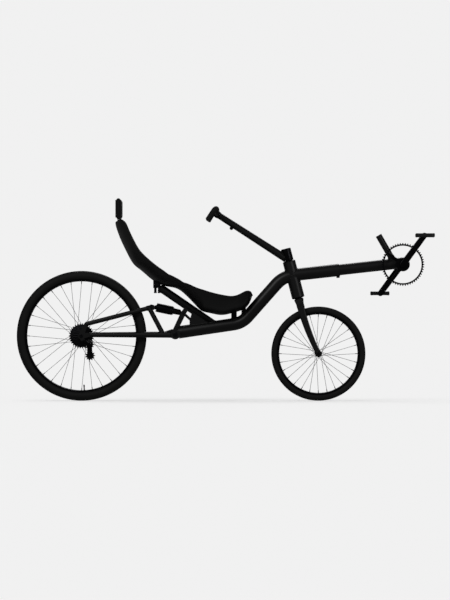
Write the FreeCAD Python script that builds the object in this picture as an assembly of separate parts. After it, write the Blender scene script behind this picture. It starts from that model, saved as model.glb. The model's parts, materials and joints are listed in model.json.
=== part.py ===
"""A short-wheelbase recumbent bicycle: a bucket seat slung low between a large sprung rear wheel
and a small steered front wheel, with the cranks out ahead on a telescoping boom.

Units are millimetres. The layout is worked out in the road frame: x runs ahead of the rear axle,
y to the rider's left and z up from the road. Each piece is then moved so that the part's own origin
lies on the seat, where the rider's weight rests.
"""
import FreeCAD
import Part

import os
from math import acos, asin, atan2, cos, hypot, pi, radians, sin, sqrt, tan

V = FreeCAD.Vector

# ---- fits ---------------------------------------------------------------------------------------
RUNNING = 0.05          # radial clearance of a shaft in its bearing
TOUCH = 0.1             # radial clearance of a piece fixed in or on another
SLIDING = 0.3           # radial clearance of the boom in the main tube
SEATED = 0.4            # gap under a soft pad, and beside a wheel's locknuts

# ---- sizes: wheels ------------------------------------------------------------------------------
REAR_BEAD_R = 279.5     # bead seat of the rear rim
REAR_TYRE_W = 47.0
REAR_RIM_W = 27.0
REAR_SPOKES = 32
REAR_CROSSES = 3        # spokes that each spoke crosses on its own side
REAR_HUB_W = 135.0      # between the dropouts
FRONT_BEAD_R = 203.0
FRONT_TYRE_W = 34.0
FRONT_RIM_W = 24.0
FRONT_SPOKES = 28
FRONT_CROSSES = 2
FRONT_HUB_W = 100.0
RIM_FLANGE = 6.0        # rim flange above the bead seat
RIM_FLOOR = 6.0         # rim below the bead seat
RIM_WALL = 1.8
TYRE_T = 3.5            # casing and tread together
TYRE_FACETS = 4         # flats round each half of a tyre's section
SPOKE_R = 1.0
SPOKE_SEAT_Y = 2.5      # spoke ends off the middle plane at the rim
FLANGE_T = 3.0          # hub flange thickness
FLANGE_EDGE = 3.0       # flange beyond the spoke holes
REAR_FLANGES = (34.0, -18.0)    # left and right flange off the middle plane
REAR_FLANGE_R = 29.0
REAR_BARREL_R = 18.0    # hub shell between its flanges
FRONT_FLANGES = (33.0, -33.0)
FRONT_FLANGE_R = 17.0
FRONT_BARREL_R = 11.0
LOCKNUT_WALL = 4.0      # locknuts beyond the axle's radius
REAR_AXLE_R = 5.0
FRONT_AXLE_R = 4.5
REAR_NUT_R = 9.0
FRONT_NUT_R = 8.0
NUT_T = 8.0

REAR_R = REAR_BEAD_R + REAR_TYRE_W
FRONT_R = FRONT_BEAD_R + FRONT_TYRE_W
REAR_AXLE = (0.0, REAR_R)

# ---- sizes: chassis -----------------------------------------------------------------------------
TRAIL = 33.2
HEAD_ANGLE = 75.5       # steering axis above the road, degrees
HEAD_AHEAD = 44.53      # steering axis ahead of the upper bend, square to the axis
BOOM_SLOPE = 6.34       # degrees above the road
PIVOT = (REAR_R + 145.5, 334.0)         # swingarm pivot (x, z)
MAIN_TAIL = (PIVOT[0], PIVOT[1] + 7.5)  # rear end of the main tube's centre line
LOWER_BEND = (PIVOT[0] + 335.0, PIVOT[1] + 57.0)                # its corner under the seat
UPPER_BEND = (LOWER_BEND[0] + 209.0, LOWER_BEND[1] + 236.2)     # its corner behind the head tube
LOWER_BEND_R = 116.0
UPPER_BEND_R = 145.0

MAIN_R = 31.5
MAIN_WALL = 3.5
MOUTH_AHEAD = 283.0     # main tube's open end ahead of the upper bend's corner
CLAMP_EAR = (22.0, 8.0, 6.0)    # ears at the mouth: length, drop below the tube, thickness
CLAMP_GAP = 3.0         # between the ears
CLAMP_BOLT_R = 2.5
BOOM_WALL = 2.5
BOOM_INSERT = 130.0     # boom inside the main tube
BB_AHEAD = 317.0        # bottom bracket ahead of the main tube's mouth
BB_DROP = 8.5           # bottom bracket below the boom's centre line

# ---- sizes: steering ----------------------------------------------------------------------------
HEAD_R = 32.0
HEAD_WALL = 4.0
HEAD_LOW = FRONT_R + 302.0      # distances up the steering axis from the road
HEAD_HIGH = HEAD_LOW + 182.0
CUP_H = 7.0             # part of a headset cup outside the head tube
CUP_DEPTH = 14.0        # part inside it
RACE_H = 4.0
RACE_EDGE = 6.0         # crown race beyond the steerer
CROWN_H = 42.0
CROWN_SHOULDER = 0.45   # share of its height where the crown starts to narrow
CROWN_TOP = (48.0, 62.0)        # along the bicycle, across it
CROWN_FOOT = (37.0, 92.0)
STEERER_R = 14.3
STEERER_WALL = 2.4
STEM_R = 24.8
STEM_H = 62.0
STEM_CAP = 2.0          # stem above the steerer's end
HEAD_GAP = 5.0          # tiller clear of the head tube as it swings round it
BLADE_TOP = (36.0, 16.0)        # fork blade section, along the bicycle and across it
BLADE_TIP = (23.0, 11.0)
BLADE_STATIONS = 7
BLADE_SHARE = 0.96      # of the way from crown to axle
CROWN_SPREAD = 38.0     # blade centre off the middle plane at the crown
TIP_R = 17.0            # round fork end
TIP_T = 7.0

TILLER_SLOPE = 32.8     # degrees above the road, running back from the steering axis
TILLER_LIFT = 0.6       # tiller's root above the foot of the stem
TILLER_L = 428.0
TILLER_ROOT_R = 19.2
TILLER_TIP_R = 16.0
TILLER_WALL = 2.0
BAR_R = 11.1
BAR_STRAIGHT = 38.0     # middle plane to where the bar starts to rise
BAR_BACK = 22.5         # to the bar's corner, along the tiller
BAR_RISE = 27.0         # to the corner, square to the tiller
BAR_CORNER_Y = 108.0
BAR_DROP = 76.0         # corner to the end, square to the tiller
BAR_END_Y = 124.0
BAR_BEND_R = 24.0
BAR_SWEEP_R = 60.0
BAR_CLAMP_R = 18.5
BAR_CLAMP_W = 48.0
GRIP_R = 13.5
GRIP_LEAD = 40.0        # grip on the bar ahead of the corner
GRIP_END = 3.0          # grip beyond the bar's end
BOSS_AT = 330.0         # clamp boss under the tiller: along it
BOSS_DROP = 20.0        # and down from its centre line
BOSS_R = 9.0
BOSS_W = 18.0

# ---- sizes: swingarm and shock ------------------------------------------------------------------
DROPOUT_T = 7.0
DROPOUT_R = 15.0        # dropout round the axle
HANGER_R = (12.0, 9.0)  # derailleur hanger's half width, at the axle and at its bolt
STAY_INSET = 2.0        # dropout's ends inside the stays' outline
LOWER_STAY_R = (11.6, 15.8)     # at the axle, at the pivot
UPPER_STAY_R = 11.0
STAY_WALL = 1.6
BRACE_R = 11.0
LOWER_STAY_FROM = (REAR_AXLE[0] + 45.0, REAR_AXLE[1] + 5.3)
LOWER_STAY_TO = (PIVOT[0], PIVOT[1] - 1.5)
LOWER_STAY_Y = (71.6, 46.0)     # off the middle plane, at the axle and at the pivot
LOWER_STAY_BORE = (0.06, 0.90)  # shares of its length between its closed ends
UPPER_STAY_FROM = (REAR_AXLE[0] + 25.0, REAR_AXLE[1] + 59.5)
UPPER_STAY_TO = (PIVOT[0] - 141.0, PIVOT[1] + 130.6)
UPPER_STAY_Y = (71.6, 38.0)
BRACE_HEAD = (UPPER_STAY_TO[0] + 9.0, UPPER_STAY_TO[1] + 2.4)
BRACE_FOOT_X = PIVOT[0] - 61.0  # brace meets the lower stay
REAR_EYE = (UPPER_STAY_TO[0] + 19.5, UPPER_STAY_TO[1] + 10.4)
FRONT_EYE = (PIVOT[0] + 40.0, PIVOT[1] + 107.0)
SHOCK_CAN_R = 22.8
SHOCK_CAN = (26.0, 114.0)       # from the rear eye along the shock
SHOCK_SHAFT_R = 15.0
SHOCK_EYE_R = 9.5
SHOCK_EYE_W = 26.0
SHOCK_NECK = 16.0       # from the damper body's end to the front eye
SHOCK_NECK_R = SHOCK_EYE_R * 0.75
SHOCK_BOLT_R = 4.0
SHOCK_HEAD_T = 4.0      # bolt heads
TAB_T = 4.0
TAB_HEAD = (REAR_EYE[0] + 5.5, REAR_EYE[1] - 6.0)       # middle of the round end of the rear eye's tabs
TAB_HEAD_R = 14.0
PIVOT_SHELL_R = 25.0
PIVOT_SHELL_W = 69.0
PIVOT_LUG_W = 20.0
PIVOT_LUG_WEB = [(-54.0, 5.0), (-54.0, 14.3), (-16.3, 26.5), (0.0, 5.0)]     # its corners from the pivot
PIVOT_LUG_WEB_Y = (6.0, 14.0)   # its faces from the lug's inner face
PIVOT_AXLE_R = 7.5

# ---- sizes: seat carriers -----------------------------------------------------------------------
SADDLE = (37.0, 22.0, 100.0)    # block on the strut's end: length, half width, height before trimming
SADDLE_TAIL = (PIVOT[0] - 111.5, 567.0)         # its lower rear edge
SADDLE_BOLTS = (10.5, 29.5)     # its two bolts ahead of that edge
SADDLE_BOLT = (6.5, 26.0)       # radius, and length below the block
STRUT_R = 20.3
STRUT_WALL = 2.0
STRUT_ANGLE = 34.4      # degrees above the road, running back
STRUT_FOOT_X = PIVOT[0] + 210.0         # where the strut's centre line meets the main tube's
STRUT_TOP_X = SADDLE_TAIL[0] + 32.7
TOWER_T = 4.0           # shock tower plates
TOWER_LEG = 12.0        # half width of their rear leg
TOWER_LEG_FOOT = -8.0   # its foot ahead of the pivot
TOWER_BRACE = 6.5       # half width of the thin brace
TOWER_TIE = 32.0        # reach of the short tie to the strut
GUSSET_X = PIVOT[0] + 71.0      # rear edge of the gusset
GUSSET = (50.0, 150.0)  # its height at that edge, and its length along the strut
POSTS = ((294.5, 28.0), (343.0, 22.0))  # posts under the seat's front: middle ahead of the pivot, length
POST_HALF_W = 22.0

# ---- sizes: seat --------------------------------------------------------------------------------
SHELL_T = 4.0
PAD_T = 24.0
PAD_EDGE = 8.0
PAD_SEAT = 0.7          # pad above the bucket
PAD_SHARE = 0.84        # pad's share of the shell's inner width
# Bucket sections from the top of the back to the front lip: underside x and z, lip x and z, half width.
# Each x is ahead of the swingarm pivot, and each z is above the road.
SEAT_ROWS = [
    (-294.0, 903.0, -272.0, 910.0, 70.0),
    (-299.0, 876.0, -251.0, 891.0, 96.0),
    (-285.0, 834.0, -237.5, 857.0, 111.0),
    (-263.0, 783.0, -210.5, 801.0, 122.0),
    (-239.0, 734.5, -188.0, 761.0, 128.0),
    (-204.0, 680.0, -153.0, 724.0, 133.0),
    (-177.5, 659.0, -130.5, 704.0, 135.0),
    (-115.0, 607.0, -75.0, 661.5, 136.0),
    (-52.5, 577.0, -25.0, 631.0, 136.0),
    (5.5, 564.5, 28.0, 602.5, 138.0),
    (54.5, 529.0, 83.5, 577.5, 142.0),
    (105.5, 476.0, 139.0, 556.0, 148.0),
    (132.0, 452.0, 162.5, 547.8, 149.0),
    (169.0, 441.5, 191.5, 539.5, 150.0),
    (234.0, 431.0, 247.0, 527.5, 148.0),
    (297.0, 444.0, 297.0, 524.0, 142.0),
    (345.0, 461.5, 335.0, 540.0, 130.0),
    (376.5, 499.0, 360.0, 552.0, 108.0),
    (386.5, 530.0, 376.0, 549.5, 86.0),
]
SEAT_SECTIONS = [(PIVOT[0] + under_x, under_z, PIVOT[0] + lip_x, lip_z, half_width)
                 for under_x, under_z, lip_x, lip_z, half_width in SEAT_ROWS]
PAD_FIRST, PAD_LAST = 2, 17     # sections that the pad lies in
HIP_SECTION = 14                # section that carries most of the rider's weight

HEADREST = (SEAT_SECTIONS[0][0] + 10.0, SEAT_SECTIONS[0][1] + 62.0)     # middle of the pad
HEADREST_SIZE = (25.0, 190.0, 108.0)    # thickness, width, height
HEADREST_PLATE = (3.0, 0.8)     # back plate's thickness, and its share of the pad's width and height
STRAP_W = 36.0
STRAP_T = 4.0
STRAP_RISE = 2.0        # strap above the middle of the bucket's hollow, so that its edges rest on it
STRAP_RUN = (-0.35, 0.1)        # its ends on the back plate, in pad heights from the pad's middle

# ---- sizes: drive -------------------------------------------------------------------------------
CHAIN_PITCH = 12.7
TOOTH = (3.3, 3.0)      # tooth roots inside the pitch circle, tips outside it
RING_TEETH = 52
RING_BAND = 8.0         # chainring below the tooth roots
RING_T = 3.4
RING_Y = 48.5           # inner face off the middle plane
SPIDER_ARMS = (0.0, 90.0, 180.0)        # degrees round from the right crank arm
SPIDER_ARM_W = 9.0
SPIDER_BOSS_R = 35.0
CRANK_L = 180.0
CRANK_ANGLE = 53.5      # right arm above the road
CRANK_R = (16.5, 14.5)  # arm's half width at the spindle and at the pedal
CRANK_T = 13.0
CRANK_Y = 58.0          # inner face of the arms
CRANK_BOSS_GAP = 5.0    # arms' bosses off the bottom bracket shell
BB_SHELL_R = 21.0
BB_SHELL_W = 68.0
BB_UNIT_R = 17.0
BB_LIP = (2.5, 4.0)     # unit's lip beyond its radius, and its thickness
BB_SPINDLE_R = 9.0
POST_R = 15.9
POST_WALL = 2.0
POST_COLLAR = (17.4, 52.0)      # radius and height of the weld collar round its foot
POST_L = 174.0
POST_LEAN = 30.0        # degrees back from upright
POST_BEHIND = 33.0      # foot behind the bottom bracket
PEDAL_SIZE = (95.0, 92.0, 19.0)
PEDAL_RAIL = 11.0
PEDAL_ROUND = 0.42      # rounding of its front and rear rails, in pedal heights
PEDAL_END = 10.0        # solid outer end of its barrel
PEDAL_GAP = 8.0
PEDAL_BARREL_R = 10.5
PEDAL_SPINDLE_R = 6.5
SPROCKETS = (30, 27, 24, 21, 19, 17, 15, 13, 11)
SPROCKET_T = 1.8
SPROCKET_STEP = 4.3
CASSETTE_Y = 26.5       # big sprocket's inner face off the middle plane
FREEHUB_R = 17.0
CARRIER_R = 19.5        # core that the sprockets are fixed on
HANGER = (REAR_AXLE[0] + 12.0, REAR_AXLE[1] - 29.0)             # derailleur's bolt
GUIDE_PULLEY = (REAR_AXLE[0] + 41.0, REAR_AXLE[1] - 41.5)
TENSION_PULLEY = (REAR_AXLE[0] + 45.0, REAR_AXLE[1] - 98.5)
HANGER_BOLT_R = 8.0
LINK_R = 9.0            # half width of the derailleur's link
LINK_Y = (4.0, 12.0)    # its faces outside the dropout
PULLEY_TEETH = 11
PULLEY_T = 5.0
PULLEY_BOLT_R = 3.0
CAGE_R = (13.0, 12.0)   # cage's half width at the guide pulley and at the tension pulley
CAGE_Y = 62.0           # pulleys in line with the smallest sprocket
CAGE_PLATE_T = 2.0

# ---- worked out from the above ------------------------------------------------------------------
AXIS_UP = (-cos(radians(HEAD_ANGLE)), sin(radians(HEAD_ANGLE)))
AXIS_AHEAD = (AXIS_UP[1], -AXIS_UP[0])          # square to the steering axis
BOOM_DIR = (cos(radians(BOOM_SLOPE)), sin(radians(BOOM_SLOPE)))
BOOM_DOWN = (BOOM_DIR[1], -BOOM_DIR[0])


def along(point, direction, distance):
    """The (x, z) point at a distance from another, in a unit direction."""
    return (point[0] + direction[0] * distance, point[1] + direction[1] * distance)


def unit(start, end):
    """The unit direction in the side plane from one (x, z) point to another."""
    length = hypot(end[0] - start[0], end[1] - start[1])
    return ((end[0] - start[0]) / length, (end[1] - start[1]) / length)


HEAD_POINT = along(UPPER_BEND, AXIS_AHEAD, HEAD_AHEAD)
AXIS_FOOT = (HEAD_POINT[0] + HEAD_POINT[1] / tan(radians(HEAD_ANGLE)), 0.0)
FRONT_AXLE = (AXIS_FOOT[0] - TRAIL, FRONT_R)


def on_axis(distance):
    """A point on the steering axis, at a distance up it from the road."""
    return along(AXIS_FOOT, AXIS_UP, distance)


def at(point, y=0.0):
    """An (x, z) point of the side plane as a vector, y off the middle plane."""
    return V(point[0], y, point[1])


MOUTH = along(UPPER_BEND, BOOM_DIR, MOUTH_AHEAD)
BOOM_END = along(MOUTH, BOOM_DIR, BB_AHEAD)
BB = along(BOOM_END, BOOM_DOWN, BB_DROP)
CRANK_DIR = (cos(radians(CRANK_ANGLE)), sin(radians(CRANK_ANGLE)))
RIGHT_PEDAL = along(BB, CRANK_DIR, CRANK_L)
LEFT_PEDAL = along(BB, CRANK_DIR, -CRANK_L)
TILLER_DIR = (-cos(radians(TILLER_SLOPE)), sin(radians(TILLER_SLOPE)))
TILLER_DOWN = (-TILLER_DIR[1], TILLER_DIR[0])
STEM_FOOT = HEAD_HIGH + CUP_H + SEATED
TILLER_ROOT = on_axis(STEM_FOOT + TILLER_LIFT)
TILLER_TIP = along(TILLER_ROOT, TILLER_DIR, TILLER_L)
DROPOUT_IN = REAR_HUB_W / 2 + SEATED
FRONT_TIP_IN = FRONT_HUB_W / 2 + SEATED
CROWN_HIGH = HEAD_LOW - CUP_H - SEATED - RACE_H
CROWN_LOW = CROWN_HIGH - CROWN_H


def rider_point():
    """Top of the pad at the hip section: the part's origin."""
    under_x, under_z, lip_x, lip_z, _ = SEAT_SECTIONS[HIP_SECTION]
    return along((under_x, under_z), unit((under_x, under_z), (lip_x, lip_z)), SHELL_T + PAD_SEAT + PAD_T)


ORIGIN = rider_point()


# ---- shapes -------------------------------------------------------------------------------------
def rod(start, end, radius):
    return Part.makeCylinder(radius, (end - start).Length, start, end - start)


def taper(start, end, start_r, end_r):
    if abs(start_r - end_r) < 1e-6:
        return rod(start, end, start_r)
    return Part.makeCone(start_r, end_r, (end - start).Length, start, end - start)


def tapered_tube(start, end, start_r, end_r, wall):
    return taper(start, end, start_r, end_r).cut(taper(start, end, start_r - wall, end_r - wall))


def cross_rod(point, radius, y_from, y_to):
    """A cylinder across the bicycle."""
    return rod(at(point, y_from), at(point, y_to), radius)


def ring(point, outer, inner, y_from, y_to):
    return cross_rod(point, outer, y_from, y_to).cut(cross_rod(point, inner, y_from, y_to))


def plate(outline, y_from, y_to):
    """A flat plate in the side plane from a list of (x, z) corners."""
    face = Part.Face(Part.makePolygon([at(p, y_from) for p in outline + outline[:1]]))
    return face.extrude(V(0, y_to - y_from, 0))


def rounded_bar(start, end, start_r, end_r, y_from, y_to):
    """A flat bar in the side plane with round ends: the outline that wraps two circles."""
    dx, dz = end[0] - start[0], end[1] - start[1]
    lean, heading = acos((start_r - end_r) / hypot(dx, dz)), atan2(dz, dx)

    def rim(centre, radius, angle):
        return at(along(centre, (cos(angle), sin(angle)), radius), y_from)

    first, last = heading + lean, heading - lean
    edges = [
        Part.Arc(rim(start, start_r, first), rim(start, start_r, heading + pi),
                 rim(start, start_r, last)).toShape(),
        Part.LineSegment(rim(start, start_r, last), rim(end, end_r, last)).toShape(),
        Part.Arc(rim(end, end_r, last), rim(end, end_r, heading), rim(end, end_r, first)).toShape(),
        Part.LineSegment(rim(end, end_r, first), rim(start, start_r, first)).toShape(),
    ]
    return Part.Face(Part.Wire(edges)).extrude(V(0, y_to - y_from, 0))


def spun(centre, profile):
    """A solid of revolution about the cross axis through centre, from (y, radius) corners."""
    corners = [V(centre[0], y, centre[1] + r) for y, r in profile + profile[:1]]
    return Part.Face(Part.makePolygon(corners)).revolve(at(centre), V(0, 1, 0), 360)


def bent_path(points, radii):
    """A wire of straight runs joined by tangent arcs, one radius for each inner point."""
    edges, last = [], points[0]
    for before, corner, after, radius in zip(points, points[1:], points[2:], radii):
        back, ahead = (before - corner).normalize(), (after - corner).normalize()
        half = back.getAngle(ahead) / 2
        start, end = corner + back * (radius / tan(half)), corner + ahead * (radius / tan(half))
        middle = corner + (back + ahead).normalize() * (radius / sin(half) - radius)
        edges += [Part.LineSegment(last, start).toShape(), Part.Arc(start, middle, end).toShape()]
        last = end
    edges.append(Part.LineSegment(last, points[-1]).toShape())
    return Part.Wire(edges)


def bent_rod(points, radii, radius):
    """A round bar that follows a bent path."""
    section = Part.Wire(Part.makeCircle(radius, points[0], points[1] - points[0]))
    return bent_path(points, radii).makePipeShell([section], True, True)


def both_sides(shape):
    """The shape and its mirror image in the middle plane, as separate solids."""
    return Part.makeCompound([shape, shape.mirror(V(0, 0, 0), V(0, 1, 0))])


def pitch_radius(teeth):
    return CHAIN_PITCH / 2 / sin(pi / teeth)


def sprocket(centre, teeth, y_from, y_to):
    """A toothed disc: four corners to a tooth, from the chain's pitch."""
    root, tip = pitch_radius(teeth) - TOOTH[0], pitch_radius(teeth) + TOOTH[1]
    corners = []
    for tooth in range(teeth):
        for share, radius in ((-0.30, root), (-0.10, tip), (0.10, tip), (0.30, root)):
            angle = 2 * pi * (tooth + share) / teeth
            corners.append(along(centre, (cos(angle), sin(angle)), radius))
    return plate(corners, y_from, y_to)


# ---- seat ---------------------------------------------------------------------------------------
BEYOND = 300.0          # reach of a block that cuts away what lies past a plane


def seat_point(row, y, height):
    """A point in a seat section's plane: y across, height up from the underside towards the lips."""
    under, lip = row[0:2], row[2:4]
    return at(along(under, unit(under, lip), height), y)


def channel_section(row):
    """A bucket section: an arc-shaped wall from lip to lip."""
    depth, half = hypot(row[2] - row[0], row[3] - row[1]), row[4]
    outer = [seat_point(row, -half, depth), seat_point(row, 0, 0), seat_point(row, half, depth)]
    inner = [seat_point(row, half - SHELL_T, depth), seat_point(row, 0, SHELL_T),
             seat_point(row, SHELL_T - half, depth)]
    return Part.Wire([Part.Arc(*outer).toShape(), Part.LineSegment(outer[2], inner[0]).toShape(),
                      Part.Arc(*inner).toShape(), Part.LineSegment(inner[2], outer[0]).toShape()])


def envelope_section(row):
    """A bucket section filled up to its lips, for trimming what carries the seat."""
    depth, half = hypot(row[2] - row[0], row[3] - row[1]), row[4]
    corners = [seat_point(row, -half, depth), seat_point(row, 0, 0), seat_point(row, half, depth)]
    return Part.Wire([Part.Arc(*corners).toShape(), Part.LineSegment(corners[2], corners[0]).toShape()])


def pad_section(row, thickness):
    """A pad section: its underside follows the bucket, its top is a flatter arc."""
    depth, half = hypot(row[2] - row[0], row[3] - row[1]) - SHELL_T, row[4] - SHELL_T
    curve = (half ** 2 + depth ** 2) / (2 * depth) - PAD_SEAT
    floor, edge_y = SHELL_T + PAD_SEAT, half * PAD_SHARE
    edge = floor + curve - sqrt(curve ** 2 - edge_y ** 2)
    low = [seat_point(row, -edge_y, edge), seat_point(row, 0, floor), seat_point(row, edge_y, edge)]
    high = [seat_point(row, edge_y, edge + PAD_EDGE), seat_point(row, 0, floor + thickness),
            seat_point(row, -edge_y, edge + PAD_EDGE)]
    return Part.Wire([Part.Arc(*low).toShape(), Part.LineSegment(low[2], high[0]).toShape(),
                      Part.Arc(*high).toShape(), Part.LineSegment(high[2], low[0]).toShape()])


def seat_shell():
    return Part.makeLoft([channel_section(row) for row in SEAT_SECTIONS], True, False)


def seat_envelope():
    return Part.makeLoft([envelope_section(row) for row in SEAT_SECTIONS], True, False)


def end_block(row, inwards):
    """A block that starts at a section's plane, beyond it (inwards -1) or before it (inwards 1)."""
    under, lip = at(row[0:2]), at(row[2:4])
    up = (lip - under).normalize()
    out = up.cross(V(0, 1, 0)) * inwards
    base = under - up * BEYOND
    corners = [base - V(0, BEYOND, 0), base + V(0, BEYOND, 0)]
    corners += [corners[1] + up * BEYOND * 2, corners[0] + up * BEYOND * 2]
    return Part.Face(Part.makePolygon(corners + corners[:1])).extrude(out * BEYOND)


def seat_pad():
    """Lofted through the same sections as the bucket, so that it follows it, then cut to length."""
    pad = Part.makeLoft([pad_section(row, PAD_T) for row in SEAT_SECTIONS], True, False)
    pad = pad.cut(end_block(SEAT_SECTIONS[PAD_FIRST], 1)).cut(end_block(SEAT_SECTIONS[PAD_LAST], -1))
    return max(pad.Solids, key=lambda s: s.Volume)


ENVELOPE = seat_envelope()
SHELL = seat_shell()


# ---- frame --------------------------------------------------------------------------------------
def main_line(x):
    """Height of the main tube's centre line between its tail and the lower bend."""
    slope = (LOWER_BEND[1] - MAIN_TAIL[1]) / (LOWER_BEND[0] - MAIN_TAIL[0])
    return MAIN_TAIL[1] + (x - MAIN_TAIL[0]) * slope


def main_bar(radius, start_at, extra=0.0):
    """The main tube's outside or bore: from its tail, up between seat and head, to the mouth."""
    corners = [along(MAIN_TAIL, unit(MAIN_TAIL, LOWER_BEND), start_at), LOWER_BEND, UPPER_BEND,
               along(MOUTH, BOOM_DIR, extra)]
    return bent_rod([at(c) for c in corners], [LOWER_BEND_R, UPPER_BEND_R], radius)


MAIN_START = PIVOT_SHELL_R * 0.6
MAIN_SOLID = main_bar(MAIN_R, MAIN_START)
HEAD_SOLID = rod(at(on_axis(HEAD_LOW)), at(on_axis(HEAD_HIGH)), HEAD_R)
STRUT_DIR = (-cos(radians(STRUT_ANGLE)), sin(radians(STRUT_ANGLE)))
STRUT_FOOT = (STRUT_FOOT_X, main_line(STRUT_FOOT_X))
STRUT_TOP = along(STRUT_FOOT, STRUT_DIR, (STRUT_FOOT_X - STRUT_TOP_X) / -STRUT_DIR[0])
STRUT_SOLID = rod(at(STRUT_FOOT), at(STRUT_TOP), STRUT_R)


def main_tube():
    bore = main_bar(MAIN_R - MAIN_WALL, MAIN_START + MAIN_WALL, extra=1.0)
    shell = cross_rod(PIVOT, PIVOT_SHELL_R, -MAIN_R * 1.5, MAIN_R * 1.5)
    tube = MAIN_SOLID.cut(bore).cut(HEAD_SOLID).cut(shell)
    return Part.makeCompound([s for s in tube.Solids if s.Volume > MAIN_R ** 3])


def head_tube():
    return HEAD_SOLID.cut(rod(at(on_axis(HEAD_LOW - 1)), at(on_axis(HEAD_HIGH + 1)), HEAD_R - HEAD_WALL))


def headset_cup(face, outward):
    """A cup pressed into one end of the head tube, with its cone outside; outward is 1 up, -1 down."""
    inside, outside = on_axis(face - outward * CUP_DEPTH), on_axis(face + outward * CUP_H)
    cup = rod(at(inside), at(on_axis(face)), HEAD_R - HEAD_WALL - TOUCH)
    cup = cup.fuse(taper(at(on_axis(face)), at(outside), HEAD_R, HEAD_R - CUP_H))
    low, high = at(on_axis(face - CUP_DEPTH - 1)), at(on_axis(face + CUP_DEPTH + 1))
    return cup.cut(rod(low, high, STEERER_R + RUNNING))


def headset_cups():
    return Part.makeCompound([headset_cup(HEAD_HIGH, 1), headset_cup(HEAD_LOW, -1)])


def boom_clamp():
    """Two ears under the main tube's mouth and the bolt that pinches them."""
    length, drop, thick = CLAMP_EAR
    near, far = CLAMP_GAP / 2, CLAMP_GAP / 2 + thick
    middle = along(MOUTH, BOOM_DIR, -length / 2)
    corners = [along(along(middle, BOOM_DIR, s * length / 2), BOOM_DOWN, d)
               for s, d in ((-1, 0), (1, 0), (0.7, MAIN_R + drop), (-0.7, MAIN_R + drop))]
    ears = both_sides(plate(corners, near, far).cut(MAIN_SOLID))
    bolt = cross_rod(along(middle, BOOM_DOWN, MAIN_R + drop / 2), CLAMP_BOLT_R, -far, far)
    return Part.makeCompound([ears.Solids[0].fuse(bolt).fuse(ears.Solids[1])])


def seat_strut():
    bore = rod(at(STRUT_FOOT), at(along(STRUT_TOP, STRUT_DIR, -STRUT_WALL)), STRUT_R - STRUT_WALL)
    tube = STRUT_SOLID.cut(bore).cut([MAIN_SOLID, ENVELOPE, SHELL])
    return max(tube.Solids, key=lambda s: s.Volume)


def shock_tower():
    """A pair of plates: a leg from the pivot end up to the shock's front eye, a thin brace and a gusset
    that fills the corner between the seat strut and the main tube."""
    y_from = SHOCK_EYE_W / 2 + SEATED
    y_to = y_from + TOWER_T
    leg_foot = (PIVOT[0] + TOWER_LEG_FOOT, main_line(PIVOT[0] + TOWER_LEG_FOOT))
    leg = rounded_bar(leg_foot, FRONT_EYE, TOWER_LEG, TOWER_LEG + 1.0, y_from, y_to)
    corner, corner_top = (GUSSET_X, main_line(GUSSET_X)), (GUSSET_X, main_line(GUSSET_X) + GUSSET[0])
    gusset = plate([corner, STRUT_FOOT, along(STRUT_FOOT, STRUT_DIR, GUSSET[1]), corner_top], y_from, y_to)
    brace_end = (GUSSET_X + 10.0, corner_top[1] + 1.0)
    brace = rounded_bar(FRONT_EYE, brace_end, TOWER_BRACE, TOWER_BRACE, y_from, y_to)
    tie_end = along(FRONT_EYE, (STRUT_DIR[1], -STRUT_DIR[0]), TOWER_TIE)
    tie = rounded_bar(FRONT_EYE, tie_end, TOWER_LEG, TOWER_LEG, y_from, y_to)
    side = leg.fuse([gusset, brace, tie]).cut(MAIN_SOLID).cut(STRUT_SOLID)
    side = side.cut(cross_rod(PIVOT, PIVOT_SHELL_R, 0, PIVOT_SHELL_W))
    side = side.cut(cross_rod(FRONT_EYE, SHOCK_BOLT_R + TOUCH, 0, PIVOT_SHELL_W))
    return both_sides(max(side.Solids, key=lambda s: s.Volume))


def pivot_shell():
    return ring(PIVOT, PIVOT_SHELL_R, PIVOT_AXLE_R + TOUCH, -PIVOT_SHELL_W / 2, PIVOT_SHELL_W / 2)


LUG_IN = PIVOT_SHELL_W / 2 + SEATED
LUG_OUT = LUG_IN + PIVOT_LUG_W


def pivot_axle():
    head = LUG_OUT + NUT_T / 2
    axle = cross_rod(PIVOT, PIVOT_AXLE_R, -head, head)
    for side in (-1, 1):
        axle = axle.fuse(cross_rod(PIVOT, PIVOT_AXLE_R * 1.7, side * LUG_OUT, side * head))
    return axle


# ---- swingarm -----------------------------------------------------------------------------------
def dropout(side):
    """A plate beside the hub that takes both stays; the right one also hangs the derailleur."""
    y_from = side * DROPOUT_IN
    y_to = side * (DROPOUT_IN + DROPOUT_T)
    lower_end, upper_end = LOWER_STAY_R[0] - STAY_INSET, UPPER_STAY_R - STAY_INSET
    body = rounded_bar(REAR_AXLE, LOWER_STAY_FROM, DROPOUT_R, lower_end, y_from, y_to)
    body = body.fuse(rounded_bar(REAR_AXLE, UPPER_STAY_FROM, DROPOUT_R, upper_end, y_from, y_to))
    if side < 0:
        body = body.fuse(rounded_bar(REAR_AXLE, HANGER, *HANGER_R, y_from, y_to))
    return body.cut(cross_rod(REAR_AXLE, REAR_AXLE_R + TOUCH, y_from - side, y_to + side))


def dropouts():
    return Part.makeCompound([dropout(-1), dropout(1)])


def trimmed_stay(stay, tools):
    """A stay with the pieces it is welded to cut out of it; the longest piece is what is left."""
    for tool in tools:
        stay = stay.cut(tool)
    return max(stay.Solids, key=lambda s: s.Volume)


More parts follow.
